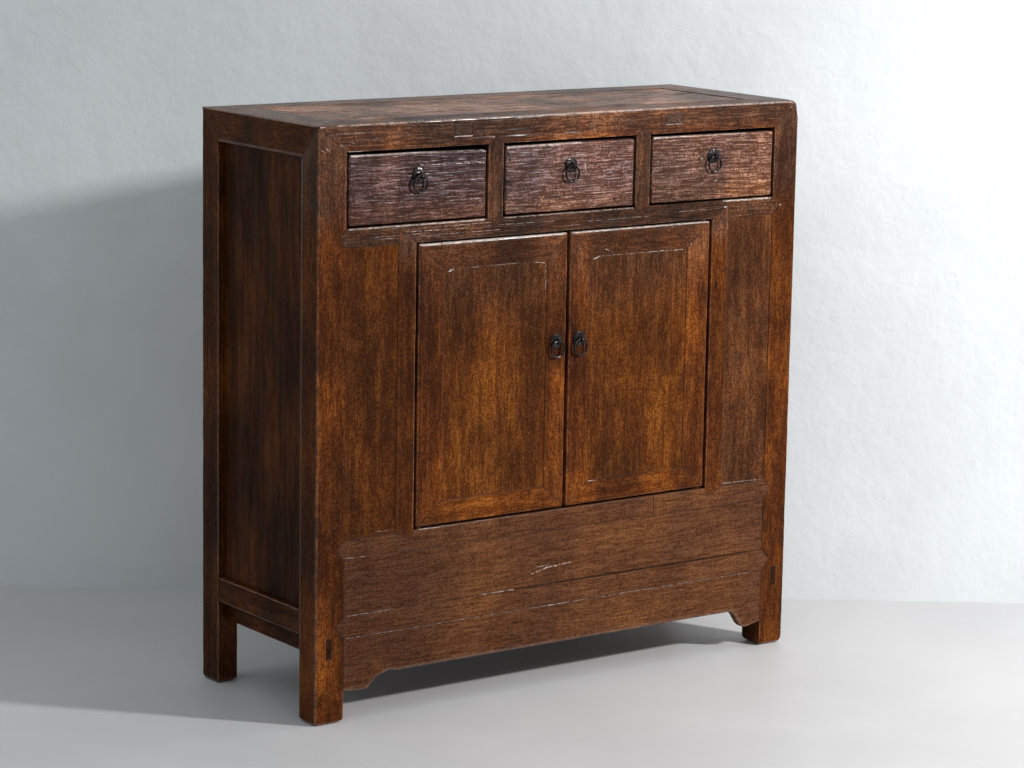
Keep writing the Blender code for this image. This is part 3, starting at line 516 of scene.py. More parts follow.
def spot_shade(place, spots):
    """Change of shade from soft spots: x, z, half width, half height in mm, and the change."""
    shade = 0.0
    for x, z, wide, high, change in spots:
        away = vectors("SUBTRACT", place, (x / 1000, FRONT_DEPTH, z / 1000))
        away = vectors("DIVIDE", away, (wide / 1000, 1, high / 1000))
        shade = spread(length(away), 0.0, 1.0, change, 0.0) + shade
    return shade


def tint_colour(place, tints):
    """Colour from tints that start at one place on an axis: axis, from, to, colour."""
    tint = (1.0, 1.0, 1.0)
    for axis, start, end, colour in tints:
        tint = blend(ramp(place, axis, start, end), tint, colour, "MULTIPLY")
    return tint


def scar_and_highlight_mark(place, scars_and_highlights):
    """Scars and painted highlights: x, z, end x, end z and width in mm, amount, raggedness. Dark
    above 0.
    """
    # Pale strokes are mostly painted highlights along lit edges, partly pale scratches.
    mark = 0.0
    for x, z, end_x, end_z, width, amount, ragged in scars_and_highlights:
        mark = signal(place.tree, "ShaderNodeGroup", {
            "Place": place, "Start": (x / 1000, 0.0, z / 1000),
            "Reach": ((end_x - x) / 1000, 0.0, (end_z - z) / 1000), "Width": width / 1000,
            "Amount": amount, "Ragged": float(ragged)}, node_tree=STROKE_GROUP) + mark
    return mark


def board_material(name, stain, grain, centre, pith=(0.06, 0.01), shift=0.0, run=1.0, level=1.0,
                   coat_gloss=0.16, relief=0.00015, grooved=1.0, spots=(), tints=(), scars_and_highlights=(),
                   attributes=True, **look):
    """Lacquered elm for one board. Grey and lacquer may be ramps: (axis, from, to, amount).
    A run below 1 draws the grain out along the board, grooved below 1 fills its grooves."""
    material, shader, _, place = new_material(name)
    middle = TURNS[grain].to_matrix() @ Vector(centre)
    mapping = add_node(place.tree, "ShaderNodeMapping", {
        0: place, "Rotation": TURNS[grain],
        "Location": (shift, pith[0] - middle.y, pith[1] - middle.z),
        "Scale": tuple(run if axis == grain else 1.0 for axis in "XYZ")})
    inputs = {"Place": mapping.outputs[0], "Cabinet": place, "Shade": spot_shade(place, spots),
              "Tint": tint_colour(place, tints), "Mark": scar_and_highlight_mark(place, scars_and_highlights)}
    for part, colour in zip(("Dark", "Body", "Worn"), STAINS[stain]):
        inputs[part] = tuple(level * value for value in tone(*colour))
    for part, value in {**PLAIN_LOOK, **look}.items():
        inputs[part.capitalize()] = ramp(place, *value) if isinstance(value, tuple) else value
    if attributes:
        for part, share in (("Wear", 1.0), ("Groove", grooved), ("Seam", 1.0)):
            inputs[part] = signal(place.tree, "ShaderNodeAttribute", output="Fac",
                                  attribute_name=part.lower()) * share
    elm = add_node(place.tree, "ShaderNodeGroup", inputs, node_tree=ELM_GROUP).outputs
    feed(shader, {"Base Color": elm["Colour"], "Roughness": elm["Roughness"],
                  "Coat Weight": elm["Coat"], "Coat Roughness": coat_gloss,
                  "Specular IOR Level": SHADER_SPECULAR})
    emboss(shader, elm["Height"], relief)
    return material


print("stains:", ", ".join(STAINS))

# %% [markdown]
# ## Worn boards
# The solid model has sharp corners. A real board this old has none: every arris is rubbed round,
# the long edges wave a little, and where two boards meet there is a fine hollow line. So free
# edges get a wide round and joint edges a narrow one, and a search for near neighbours tells one
# from the other.

# %% Neighbour search
JOINT_REACH = 0.0013
crowd_points, crowd_faces, crowd_owner = [], [], []
for node_name, node in frame["nodes"].items():
    start = len(crowd_points)
    crowd_points.extend(vertex.co.copy() for vertex in node.data.vertices)
    for polygon in node.data.polygons:
        crowd_faces.append([start + index for index in polygon.vertices])
        crowd_owner.append(node_name)
crowd = BVHTree.FromPolygons(crowd_points, crowd_faces)


def meets_another(point, owner):
    """Whether another piece lies close by."""
    return any(crowd_owner[hit[2]] != owner for hit in crowd.find_nearest_range(point, JOINT_REACH))


print("neighbour search over", len(crowd_faces), "triangles")

# %% [markdown]
# A board starts as a copy of its solid. The copy's loose triangles are merged, flat runs are
# dissolved to clean faces, and the edges are bevelled by their own widths. Then planes cut the
# board across and along, because a pattern can only move a surface where it has points. A remesh
# would do both at once, but it would blur the crisp joints that show how the cabinet is made.

# %% Round and slice a board
BEVEL_UNIT = 0.004
SOFTEST_EDGE, FLAT_ENOUGH = math.radians(28), math.radians(1)
EDGE_SAMPLES = (0.08, 0.3, 0.5, 0.7, 0.92)
END_MARGIN, CUT_SNAP = 0.003, 0.0003


def clean_shape(node_name):
    """A board's solid as one closed mesh with whole flat faces."""
    shape = bmesh.new()
    shape.from_mesh(frame["nodes"][node_name].data)
    bmesh.ops.remove_doubles(shape, verts=shape.verts, dist=0.00001)
    bmesh.ops.dissolve_limit(shape, angle_limit=FLAT_ENOUGH, verts=shape.verts, edges=shape.edges)
    return shape


def edge_width(edge, owner, arris, joint):
    """How wide an edge is rounded: free edges by arris, joint edges by joint."""
    if len(edge.link_faces) != 2 or not edge.is_convex or edge.calc_face_angle() < SOFTEST_EDGE:
        return 0.0
    start, end = (vertex.co for vertex in edge.verts)
    met = sum(meets_another(start.lerp(end, share), owner) for share in EDGE_SAMPLES)
    width = arris if met <= 2 else joint
    near = [other.calc_length() for vertex in edge.verts for other in vertex.link_edges]
    return min(width, 0.4 * min(near))


def show_piece(name, shape):
    """A new object from an edited shape, in the scene."""
    mesh = bpy.data.meshes.new(name)
    shape.to_mesh(mesh)
    shape.free()
    return in_scene(bpy.data.objects.new(name, mesh))


def as_mesh(holder):
    """The plain mesh that an object's modifiers give."""
    graph = bpy.context.evaluated_depsgraph_get()
    return bpy.data.meshes.new_from_object(holder.evaluated_get(graph), depsgraph=graph)


def round_edges(node_name, arris, joint):
    """The board with every convex edge rounded. New faces carry material index 1."""
    shape = clean_shape(node_name)
    layer = shape.edges.layers.float.new("bevel_weight_edge")
    for edge in shape.edges:
        edge[layer] = edge_width(edge, node_name, arris, joint) / BEVEL_UNIT
    holder = show_piece(node_name + "_rounded", shape)
    mesh = holder.data
    for _ in range(2):
        mesh.materials.append(None)
    bevel = holder.modifiers.new("round", "BEVEL")
    for name, value in (("limit_method", "WEIGHT"), ("width", BEVEL_UNIT), ("segments", 3),
                        ("use_clamp_overlap", False), ("material", 1)):
        setattr(bevel, name, value)
    rounded = as_mesh(holder)
    bpy.data.objects.remove(holder)
    bpy.data.meshes.remove(mesh)
    return rounded


def cut_places(low, high, step):
    """Even cuts between two ends, and one close inside each end."""
    count = max(1, round((high - low) / step))
    inner = [low + (high - low) * index / count for index in range(1, count)]
    return [low + END_MARGIN] + inner + [high - END_MARGIN]


def slice_board(mesh, cuts):
    """Cuts the board by planes: cuts is one list of places for each axis."""
    shape = bmesh.new()
    shape.from_mesh(mesh)
    for axis, places in enumerate(cuts):
        normal = Vector(number == axis for number in range(3))
        for place in places:
            bmesh.ops.bisect_plane(shape, geom=shape.verts[:] + shape.edges[:] + shape.faces[:],
                                   dist=CUT_SNAP, plane_co=normal * place, plane_no=normal)
    return shape


print("rounding in units of", BEVEL_UNIT * 1000, "mm")

# %% [markdown]
# The weathering is a Geometry Nodes tree, because it follows one rule on every board. It moves
# points inwards only, so a board never grows out of its place: a slow wave over the faces, ridges
# where the soft spring wood between the rings has sunk, and a ragged rub on the rounded edges. The
# depth of the ridges is kept as an attribute, for dirt in the hollows.

# %% Weathering tree
WAVE, RIDGE, LINE = (2, 0.5), (2.5, 0.55, 0.25), (1.5, 0.4, 0.15)
RAGGED = ((31, 31, 31), 4, 0.6)


def sink_points(geometry, depth, given, result):
    """The end of a shape tree: points sink by a depth, and the mesh is made real and painted."""
    tree = depth.tree
    offset = signal(tree, "ShaderNodeVectorMath", {
        0: signal(tree, "GeometryNodeInputNormal"), "Scale": depth * -1.0}, operation="SCALE")
    moved = signal(tree, "GeometryNodeSetPosition", {"Geometry": geometry, "Offset": offset})
    real = signal(tree, "GeometryNodeRealizeInstances", {0: moved})
    feed(result, {"Geometry": signal(tree, "GeometryNodeSetMaterial", {
        "Geometry": real, "Material": given["Finish"]})})


def weathering_tree():
    """Geometry Nodes tree that sinks a board's points along its normals."""
    tree, given, result = new_group("weathered_board", "GeometryNodeTree", {
        "Geometry": ("Geometry",), "Vector": ("Wave stretch", "Ridge stretch", "Line stretch"),
        "Float": ("Wave depth", "Ridge depth", "Line depth", "Rub depth"),
        "Material": ("Finish",)}, {"Geometry": ("Geometry",)})
    place = signal(tree, "GeometryNodeInputPosition")
    wear, show = (signal(tree, "GeometryNodeInputNamedAttribute", {"Name": name}, data_type="FLOAT")
                  for name in ("wear", "show"))
    wave = noise(place, given["Wave stretch"], *WAVE) * given["Wave depth"]
    groove = spread(noise(place, given["Ridge stretch"], *RIDGE), 0.40, 0.66) * show
    line = spread(noise(place, given["Line stretch"], *LINE), 0.55, 0.61) * show
    rub = spread(noise(place, *RAGGED), 0.42, 0.72, 0.1, 1.0) * wear * given["Rub depth"]
    kept = signal(tree, "GeometryNodeStoreNamedAttribute", {
        "Geometry": given["Geometry"], "Name": "groove",
        "Value": maths("MAXIMUM", groove, line * 0.8)}, data_type="FLOAT", domain="POINT")
    ridges = groove * given["Ridge depth"] + line * given["Line depth"]
    sink_points(kept, wave + ridges + rub, given, result)
    return tree


WEATHERING = weathering_tree()


def run_tree(holder, tree, settings):
    """Runs a Geometry Nodes tree on an object and keeps the result as its plain mesh."""
    modifier = holder.modifiers.new("rule", "NODES")
    modifier.node_group = tree
    sockets = {item.name: item.identifier for item in tree.interface.items_tree
               if item.in_out == "INPUT"}
    for name, value in settings.items():
        modifier[sockets[name]] = value
    made = as_mesh(holder)
    holder.modifiers.remove(modifier)
    old = holder.data
    holder.data = made
    bpy.data.meshes.remove(old)


print("weathering tree:", len(WEATHERING.nodes), "nodes")

# %% [markdown]
# Now the boards themselves. Each is given the way its grain runs, how round its free edges are,
# how deep its ridges, and how fine it is cut. The same few lines then make every board, and each
# one rides on the body that carries its solid.

# %% Make one board
SHADE_LIMIT = math.radians(50)
WAVE_ALONG, WAVE_ACROSS = 7.0, 16.0


def grain_stretch(grain, along, across):
    """Waves per metre on each axis for a pattern drawn out along the grain."""
    return tuple(along if axis == grain else across for axis in "XYZ")


def mark_points(shape, node_name, ridged):
    """Marks a board's points: wear on free rounds, seam on joint rounds, show on faces."""
    wear = shape.verts.layers.float.new("wear")
    seam = shape.verts.layers.float.new("seam")
    show = shape.verts.layers.float.new("show")
    axis, sign = ridged if ridged else (0, 0)
    for vertex in shape.verts:
        if any(face.material_index == 1 for face in vertex.link_faces):
            vertex[seam if meets_another(vertex.co, node_name) else wear] = 1.0
        elif sign and all(face.normal[axis] * sign > 0.9 for face in vertex.link_faces):
            vertex[show] = 1.0


def keep_inside(mesh, low, high):
    """No point of a worn board may leave the box of its solid."""
    places = numpy.empty(3 * len(mesh.vertices), numpy.float32)
    mesh.vertices.foreach_get("co", places)
    mesh.vertices.foreach_set("co", numpy.clip(places.reshape(-1, 3), low, high).ravel())


def stand_in(made, node_name):
    """Shading of a finished piece. It rides on its solid's body and takes its solid's place."""
    node = frame["nodes"][node_name]
    made.data.shade_smooth()
    made.data.set_sharp_from_angle(angle=SHADE_LIMIT)
    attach(made, node["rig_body"])
    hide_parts(node_name)


def make_board(node_name, grain, material, arris=0.0018, joint=0.0002, steps=(0.010, 0.007),
               ridged=None, ridge=(5, 260, 0.0003), line=(5, 190, 0.0), wave=0.0003, rub=0.0007,
               fine=None, more_cuts=None, changes=()):
    """A worn copy of one board of the solid model, in its place."""
    low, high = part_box(node_name)
    rounded = round_edges(node_name, arris, joint)
    cuts = [cut_places(*ends, steps[axis != grain]) for axis, *ends in zip("XYZ", low, high)]
    if fine:
        cuts[fine[0]] = cut_places(low[fine[0]], high[fine[0]], fine[1])
    if more_cuts:
        cuts[more_cuts[0]] += more_cuts[1]
    shape = slice_board(rounded, cuts)
    bpy.data.meshes.remove(rounded)
    mark_points(shape, node_name, ridged)
    for change in changes:
        change(shape)
    for face in shape.faces:
        face.material_index = 0
    made = show_piece("worn_" + node_name, shape)
    run_tree(made, WEATHERING, {
        "Wave stretch": grain_stretch(grain, WAVE_ALONG, WAVE_ACROSS), "Wave depth": wave,
        "Ridge stretch": grain_stretch(grain, *ridge[:2]), "Ridge depth": ridge[2],
        "Line stretch": grain_stretch(grain, *line[:2]), "Line depth": line[2],
        "Rub depth": rub, "Finish": material})
    keep_inside(made.data, low, high)
    stand_in(made, node_name)


print("ready to make boards")

# %% [markdown]
# An old cabinet carries its history: dark grease round the pulls, knocks, cracks and nail holes,
# and pale scratches where the lacquer has gone. Most pale strokes are painted highlights, where
# the lamp glints on the upper edges of doors, drawers, rails and panels. A painted image would
# hold them, but this table does it with numbers, in millimetres. A spot is an ellipsoid that
# shifts the stain, and a scar is a short stroke on the front between two places, dark above zero
# and pale below.

# %% Spots, scars and painted highlights
SPOTS = {
    "door_panel_left": ((-140, 530, 75, 170, 0.07), (-250, 700, 110, 220, -0.06),
        (-60, 600, 50, 100, -0.05)),
    "door_panel_right": ((120, 500, 70, 200, 0.06), (150, 730, 160, 80, -0.06)),
    "door_meeting_stile_left": ((-24.5, 606, 28, 40, -0.16), (-25, 535, 40, 60, 0.1)),
    "door_meeting_stile_right": ((24.5, 606, 28, 40, -0.16), (25, 700, 30, 60, 0.09)),
    "door_hinge_stile_left": ((-285, 620, 50, 220, -0.07),),
    "door_hinge_stile_right": ((285, 560, 50, 140, 0.09), (295, 660, 20, 50, -0.12)),
    "door_bottom_rail_left": ((-150, 336, 150, 50, 0.07),),
    "door_bottom_rail_right": ((150, 336, 150, 50, 0.05),),
    "door_top_rail_left": ((-160, 775, 160, 50, -0.06),),
    "door_top_rail_right": ((160, 775, 160, 50, -0.06),),
    "post_front_right": ((485, 600, 50, 200, 0.06), (485, 820, 50, 120, -0.08)),
    "fixed_panel_right": ((400, 760, 80, 140, -0.08),),
    "top_rail_front": ((0, 958, 240, 16, 0.12), (80, 994, 300, 16, 0.1),
        (460, 980, 120, 60, -0.08)),
    "compartment_board": ((-320, 220, 220, 70, -0.09), (130, 250, 170, 50, 0.1)),
    "front_apron": ((-360, 120, 160, 60, -0.06), (180, 110, 200, 50, 0.05)),
    "lower_rail": ((-200, 295, 200, 40, -0.05), (280, 295, 140, 40, 0.08)),
    "drawer_front_left": ((-313.3, 906, 40, 28, -0.14),),
    "drawer_front_middle": ((0, 906, 40, 28, -0.14),),
    "drawer_front_right": ((313.3, 906, 40, 28, -0.14), (400, 870, 70, 50, -0.03)),
}
# Negative amounts are pale: mostly painted highlights on lit top edges, seams and panel edges,
# partly pale scratches.
SCARS_AND_HIGHLIGHTS = {
    "door_top_rail_left": ((-308, 794, -6, 794, 3, -0.92, 0.4),
        (-264.3, 794.5, -266.2, 784.8, 2.9, 0.95, 0)),
    "door_jamb_right": ((326.3, 685.2, 328.9, 676.1, 4, 0.805, 0),),
    "lower_rail": ((198, 311.1, 199.1, 280, 1.8, 0.8625, 0),
        (-450.4, 280.5, -410.8, 280, 1.8, -0.3, 1), (-302.7, 311.7, -261.9, 311, 1.6, -0.57, 1)),
    "front_apron": ((173.5, 116, 174.7, 75.5, 1.8, 0.4025, 1),
        (-207.1, 128.5, -171.5, 126.1, 3.6, 0.575, 1),
        (-188.1, 117.9, -171.3, 117.3, 3.2, 0.5175, 1), (-111.6, 99.9, -88.1, 101, 3.6, 0.5175, 1),
        (0.4, 108.2, 75.4, 100.4, 3.2, 0.575, 1), (74.9, 116.2, 106.1, 114.3, 3.6, 0.575, 1),
        (-449.2, 143.6, 423, 143.2, 1.3, -0.34, 1), (-37.4, 143.1, 17, 143, 1.4, -0.5, 1)),
    "compartment_board": ((-102.7, 182.5, 420, 182.5, 3.4, 0.7, 0.5),
        (-69, 203.5, -36.8, 210.4, 2.4, -0.5, 1), (-36.9, 211.6, -13.1, 212.1, 2.4, -0.65, 1),
        (-8.8, 213.3, 17.4, 214.1, 1.4, -0.69, 1), (-58.5, 214.6, -30.5, 216.1, 1.2, -0.52, 1)),
    "bottom_rail": ((-445.6, 181.5, -351.6, 181.5, 1.2, -0.34, 1),
        (-176.7, 181.5, -102.7, 181.5, 1.4, -0.63, 1), (-102.7, 181.5, 420, 181.5, 3.4, 0.75, 0.5),
        (-238.9, 161.1, -222.2, 159.6, 3.2, 0.46, 1), (361.3, 145.5, 422.9, 145, 2.9, 0.69, 1)),
    "post_front_right": ((454.9, 180.9, 469.8, 167.8, 3.6, 0.69, 0),
        (469.8, 167.8, 456.1, 150.7, 2.9, 0.575, 0), (455, 800.7, 469, 812.3, 4, 0.805, 0),
        (457.4, 806.7, 473.6, 815.7, 1.6, -0.8, 1)),
    "door_panel_left": ((-252.4, 745.2, -240.3, 748.4, 2.2, -0.92, 1),
        (-248.4, 749.5, -104.2, 749.5, 1.2, -0.34, 1), (-74.8, 749.5, -51.5, 746.2, 1.3, -0.63, 1),
        (-48, 744.3, -48, 699.6, 1.1, -0.46, 1)),
    "door_panel_right": ((53.4, 745.6, 66.3, 749, 2, -0.8, 1),
        (66.3, 749.5, 176.1, 749.5, 1.2, -0.36, 1), (176.1, 749.3, 256.8, 749, 1.6, -0.62, 1)),
    "door_bottom_rail_right": ((50.9, 354.8, 68.4, 355.2, 1.6, -0.8, 1),),
    "door_hinge_stile_right": ((267.8, 757.2, 281, 770.5, 1.8, -0.92, 1),
        (281, 770.5, 285, 784.4, 1.3, -0.63, 1)),
    "door_top_rail_right": ((6, 794, 308, 794, 3, -0.8, 0.6),
        (79, 761.2, 92.3, 755.1, 1.8, -0.69, 1)),
    "mid_rail": ((-260, 822.5, -150, 822.8, 1.2, -0.5, 1), (-410, 813, -290, 813.3, 1.2, -0.4, 1),
        (-180, 817.8, -30, 817.2, 1, -0.4, 1), (40, 812, 170, 812.4, 1, -0.35, 1),
        (230, 816, 330, 816.4, 1, -0.35, 1), (340, 828.5, 448, 828.5, 3.4, -0.8, 0.8),
        (-136, 828.7, 136, 828.7, 2.4, -0.4, 0.9), (-448, 828.5, -180, 828.5, 3, -0.69, 0.7),
        (-337.7, 817.9, -208.9, 816.2, 1.2, -0.69, 1), (-309.7, 809.4, -147.1, 809.7, 1, -0.52, 1)),
    "top_rail_front": ((-260, 998.5, 495, 998.5, 4, -0.36, 0.7),
        (-470, 998.5, -260, 998.5, 3, -0.35, 0.9), (-242, 970.6, -206.5, 970.6, 1.6, -0.86, 0.4),
        (206.5, 970.6, 242.5, 970.6, 1.6, -0.5, 0.8), (-238, 980, -211, 980, 20, 0.45, 0.5),
        (211, 980, 238, 980, 20, 0.45, 0.5), (-448, 972, -440, 969, 1.3, -0.57, 1)),
    "post_front_left": ((-494.8, 964.2, -487.1, 957.4, 1.4, -0.69, 1),
        (-502, 960, -494.7, 956.2, 1.4, -0.46, 1)),
    "fixed_panel_left": ((-397.3, 319.1, -357.3, 318.1, 1.4, -0.25, 1),),
    "fixed_panel_right": ((357, 316.4, 450.2, 314, 1.3, -0.57, 1),),
    "drawer_front_left": ((-300, 947.5, -182, 945.5, 2.8, -0.52, 0.9),
        (-445, 948.2, -300, 948, 3.4, -0.86, 0.6), (-310, 926.8, -180, 924.5, 1.6, -0.75, 1),
        (-250, 865, -190, 865.5, 1.8, -0.52, 1), (-289.3, 914.4, -279, 910, 10.8, 0.4025, 1)),
    "drawer_front_middle": ((-132, 948, 20, 948, 3.2, -0.75, 0.7),
        (-33, 912, -25, 898, 7.2, 0.4025, 1), (30, 912, 32, 896, 4, -0.34, 1),
        (-130, 932, -128, 928, 10.8, 0.69, 0), (-131, 890, -129, 887, 9, 0.69, 0),
        (94, 848, 95, 846.5, 7.2, 0.805, 0)),
    "drawer_front_right": ((250, 947.8, 390, 947, 2.6, -0.52, 0.9),
        (182, 948.2, 250, 948, 3.4, -0.86, 0.6), (287, 908, 289, 898, 4, -0.4, 1),
        (336, 912, 338, 900, 7.2, 0.4025, 1), (400, 898, 402, 876, 6.5, 0.5175, 1),
        (318, 866, 324, 868, 3, -0.69, 1)),
}
print("spots on", len(SPOTS), "boards, scars on", len(SCARS_AND_HIGHLIGHTS))

# %% [markdown]
# The posts, jambs, dividers and side boards come first. The posts run down into the legs, so
# their feet are rubbed round from some height down, and the top right corner has been knocked
# off. Both are small shape changes that move points by where they lie, so boards that meet there
# still meet afterwards, whichever board a point belongs to.

# %% Boards of the case
made_boards = []
NEXT_GRAIN = 3.71


def board(node_name, grain, stain, ridged=None, look=None, **settings):
    """Material and worn copy of one board, with its own place in the grain."""
    made_boards.append(node_name)
    low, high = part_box(node_name)
    material = board_material(node_name + "_elm", stain, grain, (low + high) / 2,
                              shift=NEXT_GRAIN * len(made_boards), spots=SPOTS.get(node_name, ()),
                              scars_and_highlights=SCARS_AND_HIGHLIGHTS.get(node_name, ()), **(look or {}))
    make_board(node_name, grain, material, ridged=ridged, **settings)


FRONT, TOP, LEFT, RIGHT = (1, -1), (2, 1), (0, -1), (0, 1)
FOOT_CUTS = (2, (0.0015, 0.005, 0.0075, 0.014, 0.020))
FRONT_POST_CUTS = (2, FOOT_CUTS[1] + (0.988, 0.991, 0.994, 0.997, 0.9985))
FOOT_WEAR = {"post_front_left": (0.012, 0.0030), "post_front_right": (0.016, 0.0060),
             "post_rear_left": (0.012, 0.0035), "post_rear_right": (0.012, 0.0030)}


def wear_foot(node_name):
    """A shape change for a post: its foot rubbed round from some height down."""
    low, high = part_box(node_name)
    middle = (low + high) / 2
    height, inwards = FOOT_WEAR[node_name]

    def change(shape):
        for place in (vertex.co for vertex in shape.verts if vertex.co.z < height):
            share = 1 - place.z / height
            step = inwards * (1 - math.sqrt(max(0.0, 1 - share * share)))
            for axis in (0, 1):
                reach = (high[axis] - low[axis]) / 2
                place[axis] -= step * (place[axis] - middle[axis]) / reach
    return change


CORNER_WEAR = {"left": 0.0032, "right": 0.0052}
TOP_CORNER, CORNER_KNOCK = Vector((0.510, -0.184, 1.000)), 0.012


def wear_corner(shape):
    """A shape change for the boards that meet at the top right corner: knocked round there."""
    for vertex in shape.verts:
        away = TOP_CORNER - vertex.co
        beyond = Vector((max(CORNER_KNOCK - away.x, 0), -max(CORNER_KNOCK + away.y, 0),
                         max(CORNER_KNOCK - away.z, 0)))
        near = 1 - min(max((away.length - CORNER_KNOCK) / (1.5 * CORNER_KNOCK), 0), 1)
        if near > 0 and beyond.length > CORNER_KNOCK:
            vertex.co -= beyond * (1 - CORNER_KNOCK / beyond.length) * near


MITRE_JOINT = 0.00008
GREYED = (2, 0.0, 0.01, 0.85)
TOP_SKIN = (2, 0.9965, 0.9985)
# Grey and lightening on the top faces: faded lacquer, and partly a painted reflection of the pale
# wall seen this low.
UNDER_TOP = dict(grey=(*TOP_SKIN, 1.0), lacquer=(*TOP_SKIN, 0.38), coat_gloss=0.28)
TOP_FADE_AND_SHEEN = (*TOP_SKIN, (2.1, 2.15, 2.2))
POST_LEVEL = {"left": 1.0, "right": 0.87}
JAMB_LEVEL = {"left": 1.0, "right": 0.88}
FIXED_LEVEL = {"left": 1.04, "right": 0.86}
for side, outward in (("left", LEFT), ("right", RIGHT)):
    board("post_front_" + side, "Z", "frame", FRONT, arris=CORNER_WEAR[side], joint=MITRE_JOINT,
          more_cuts=FRONT_POST_CUTS,
          changes=(wear_foot("post_front_" + side), wear_corner),
          look=dict(level=POST_LEVEL[side], grey=(2, 0.80, 0.88, 0.85),
                    lacquer=(2, 0.91, 0.96, 0.2),
                    tints=((0, -0.5075, -0.5094, (0.6, 0.6, 0.6)),)))
    board("post_rear_" + side, "Z", "side", outward, arris=0.0032, joint=MITRE_JOINT,
          more_cuts=FOOT_CUTS, changes=(wear_foot("post_rear_" + side),), look=dict(level=1.2))
    board("top_rail_" + side, "Y", "side", TOP, arris=CORNER_WEAR[side], joint=MITRE_JOINT,
          more_cuts=(1, (-0.1825, -0.181, -0.178, -0.175, -0.172)), changes=(wear_corner,),
          look=dict(tints=(TOP_FADE_AND_SHEEN,), **UNDER_TOP))
    board("door_jamb_" + side, "Z", "frame", FRONT,
          look=dict(grey=(2, 0.74, 0.79, 0.85), level=JAMB_LEVEL[side]))
    board("drawer_divider_" + side, "Z", "frame", FRONT, look=dict(grey=GREYED, level=0.85))
    board("fixed_panel_" + side, "Z", "panel", FRONT,
          look=dict(tilt=0.06, level=FIXED_LEVEL[side], grey=(0, 0.0, 0.40, 0.35)))
    board("side_panel_" + side, "Z", "side", outward,
          look=dict(pith=(0.01, 0.06), fibre=0.42, speck=0.14))
    board("side_rail_" + side, "Y", "side", outward, look=dict(speck=0.14, level=1.35))
    board("side_apron_" + side, "Y", "side", outward,
          look=dict(tints=((1, -0.1825, -0.1838, (0.35, 0.35, 0.42)),)))
print("posts, jambs, dividers, panels and sides:", len(made_boards))

# %% [markdown]
# The long rails catch the light on their upper edges, so they have a wide round there, deeper
# ridges and a finer cut. The top has lost its red lacquer to cups and cloths, and its grey is also
# a painted reflection of the pale wall: a grey that starts just under the upper face keeps the
# front of the same rail brown. The battens under the top end in tenons that show on the front rail.

# %% Long rails and the top
RAIL_CUT = dict(ridge=(26, 300, 0.0004), fine=(2, 0.0014))
RAIL_LOOK = dict(fibre=1.1, speck=0.5, relief=0.0003, coat_gloss=0.22, run=0.6)
LOW_LOOK = dict(fibre=0.55, speck=0.26, run=0.6, grooved=0.3)
board("top_rail_front", "X", "frame", FRONT, arris=0.0040, joint=MITRE_JOINT,
      line=(6, 170, 0.0004), changes=(wear_corner,), **RAIL_CUT,
      more_cuts=(0, (0.498, 0.501, 0.504, 0.507, 0.5085)),
      look=dict(lacquer=(2, 0.9985, 0.9965, 0.25), grey=(2, 0.945, 0.980, 0.6), **RAIL_LOOK))
board("top_rail_rear", "X", "side", TOP, arris=0.0035,
      look=dict(speck=0.1, tints=(TOP_FADE_AND_SHEEN,), **UNDER_TOP))
board("mid_rail", "X", "frame", FRONT, arris=0.0034, line=(6, 170, 0.0005), **RAIL_CUT,
      look=dict(lacquer=0.22, level=0.60, grey=(2, 0.0, 0.01, 0.6), **RAIL_LOOK))
board("lower_rail", "X", "low", FRONT, arris=0.0026, look=LOW_LOOK)
for node_name in ("compartment_board", "bottom_rail", "front_apron"):
    board(node_name, "X", "low", FRONT, arris=0.0025, joint=0.0004, look=LOW_LOOK)
board("top_panel", "X", "top", TOP, ridge=(8, 190, 0.0005), line=(2.5, 110, 0.0008),
      fine=(1, 0.0026),
      look=dict(pith=(0.01, -0.05), relief=0.0004, fibre=1.1, run=0.35, **UNDER_TOP))
for side in ("left", "right"):
    board("top_batten_" + side, "Y", "plug", look=dict(grey=GREYED, level=0.8))
print("boards of the case:", len(made_boards))

# %% [markdown]
# The three fronts are soft open wood, weathered to fine wavy ridges that the lamp picks out one
# by one. They are cut under a millimetre fine across the grain, so that the ridges are true shape
# and not only bump. Each front also has its own planed top edge, which makes the uneven dark gap
# above it.

# %% Drawer fronts
TOP_DROPS = {"left": (0.0002, 0.0036), "middle": (0.0010, 0.0004), "right": (0.0004, 0.0020)}
TOP_EDGE_DEPTH, TOP_EDGE_WAVE = 0.03, 0.0004
CORNER_ROUND, DRAWER_FINE = 0.0055, 0.0008
DRAWER_TONES = {  # level, cast of the upper part, cast of the foot
    "left": (0.72, (0.94, 0.89, 1.02), (1.12, 0.95, 0.68)),
    "middle": (1.30, (1.08, 1.04, 1.04), (1.08, 0.95, 0.72)),
    "right": (1.30, (1.06, 0.97, 0.80), (1.0, 0.90, 0.70))}


def wear_drawer(node_name, left_drop, right_drop):
    """A shape change for a drawer front: rounded corners and a top edge planed out of true."""
    low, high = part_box(node_name)
    middle, half = (low + high) / 2, (high - low) / 2

    def change(shape):
        for vertex in shape.verts:
            place = vertex.co
            over = Vector((place.x - middle.x, place.z - middle.z))
            beyond = Vector((abs(over.x) - half.x + CORNER_ROUND,
                             abs(over.y) - half.z + CORNER_ROUND))
            if beyond.x > 0 and beyond.y > 0 and beyond.length > CORNER_ROUND:
                pull = beyond * (1 - CORNER_ROUND / beyond.length)
                place.x -= math.copysign(pull.x, over.x)
                place.z -= math.copysign(pull.y, over.y)
            share = (place.x - low.x) / (high.x - low.x)
            drop = left_drop + (right_drop - left_drop) * share
            drop += TOP_EDGE_WAVE * math.sin(9 * share)
            near = (place.z - high.z + TOP_EDGE_DEPTH) / TOP_EDGE_DEPTH
            place.z -= max(drop, 0) * min(max(near, 0), 1)
    return change


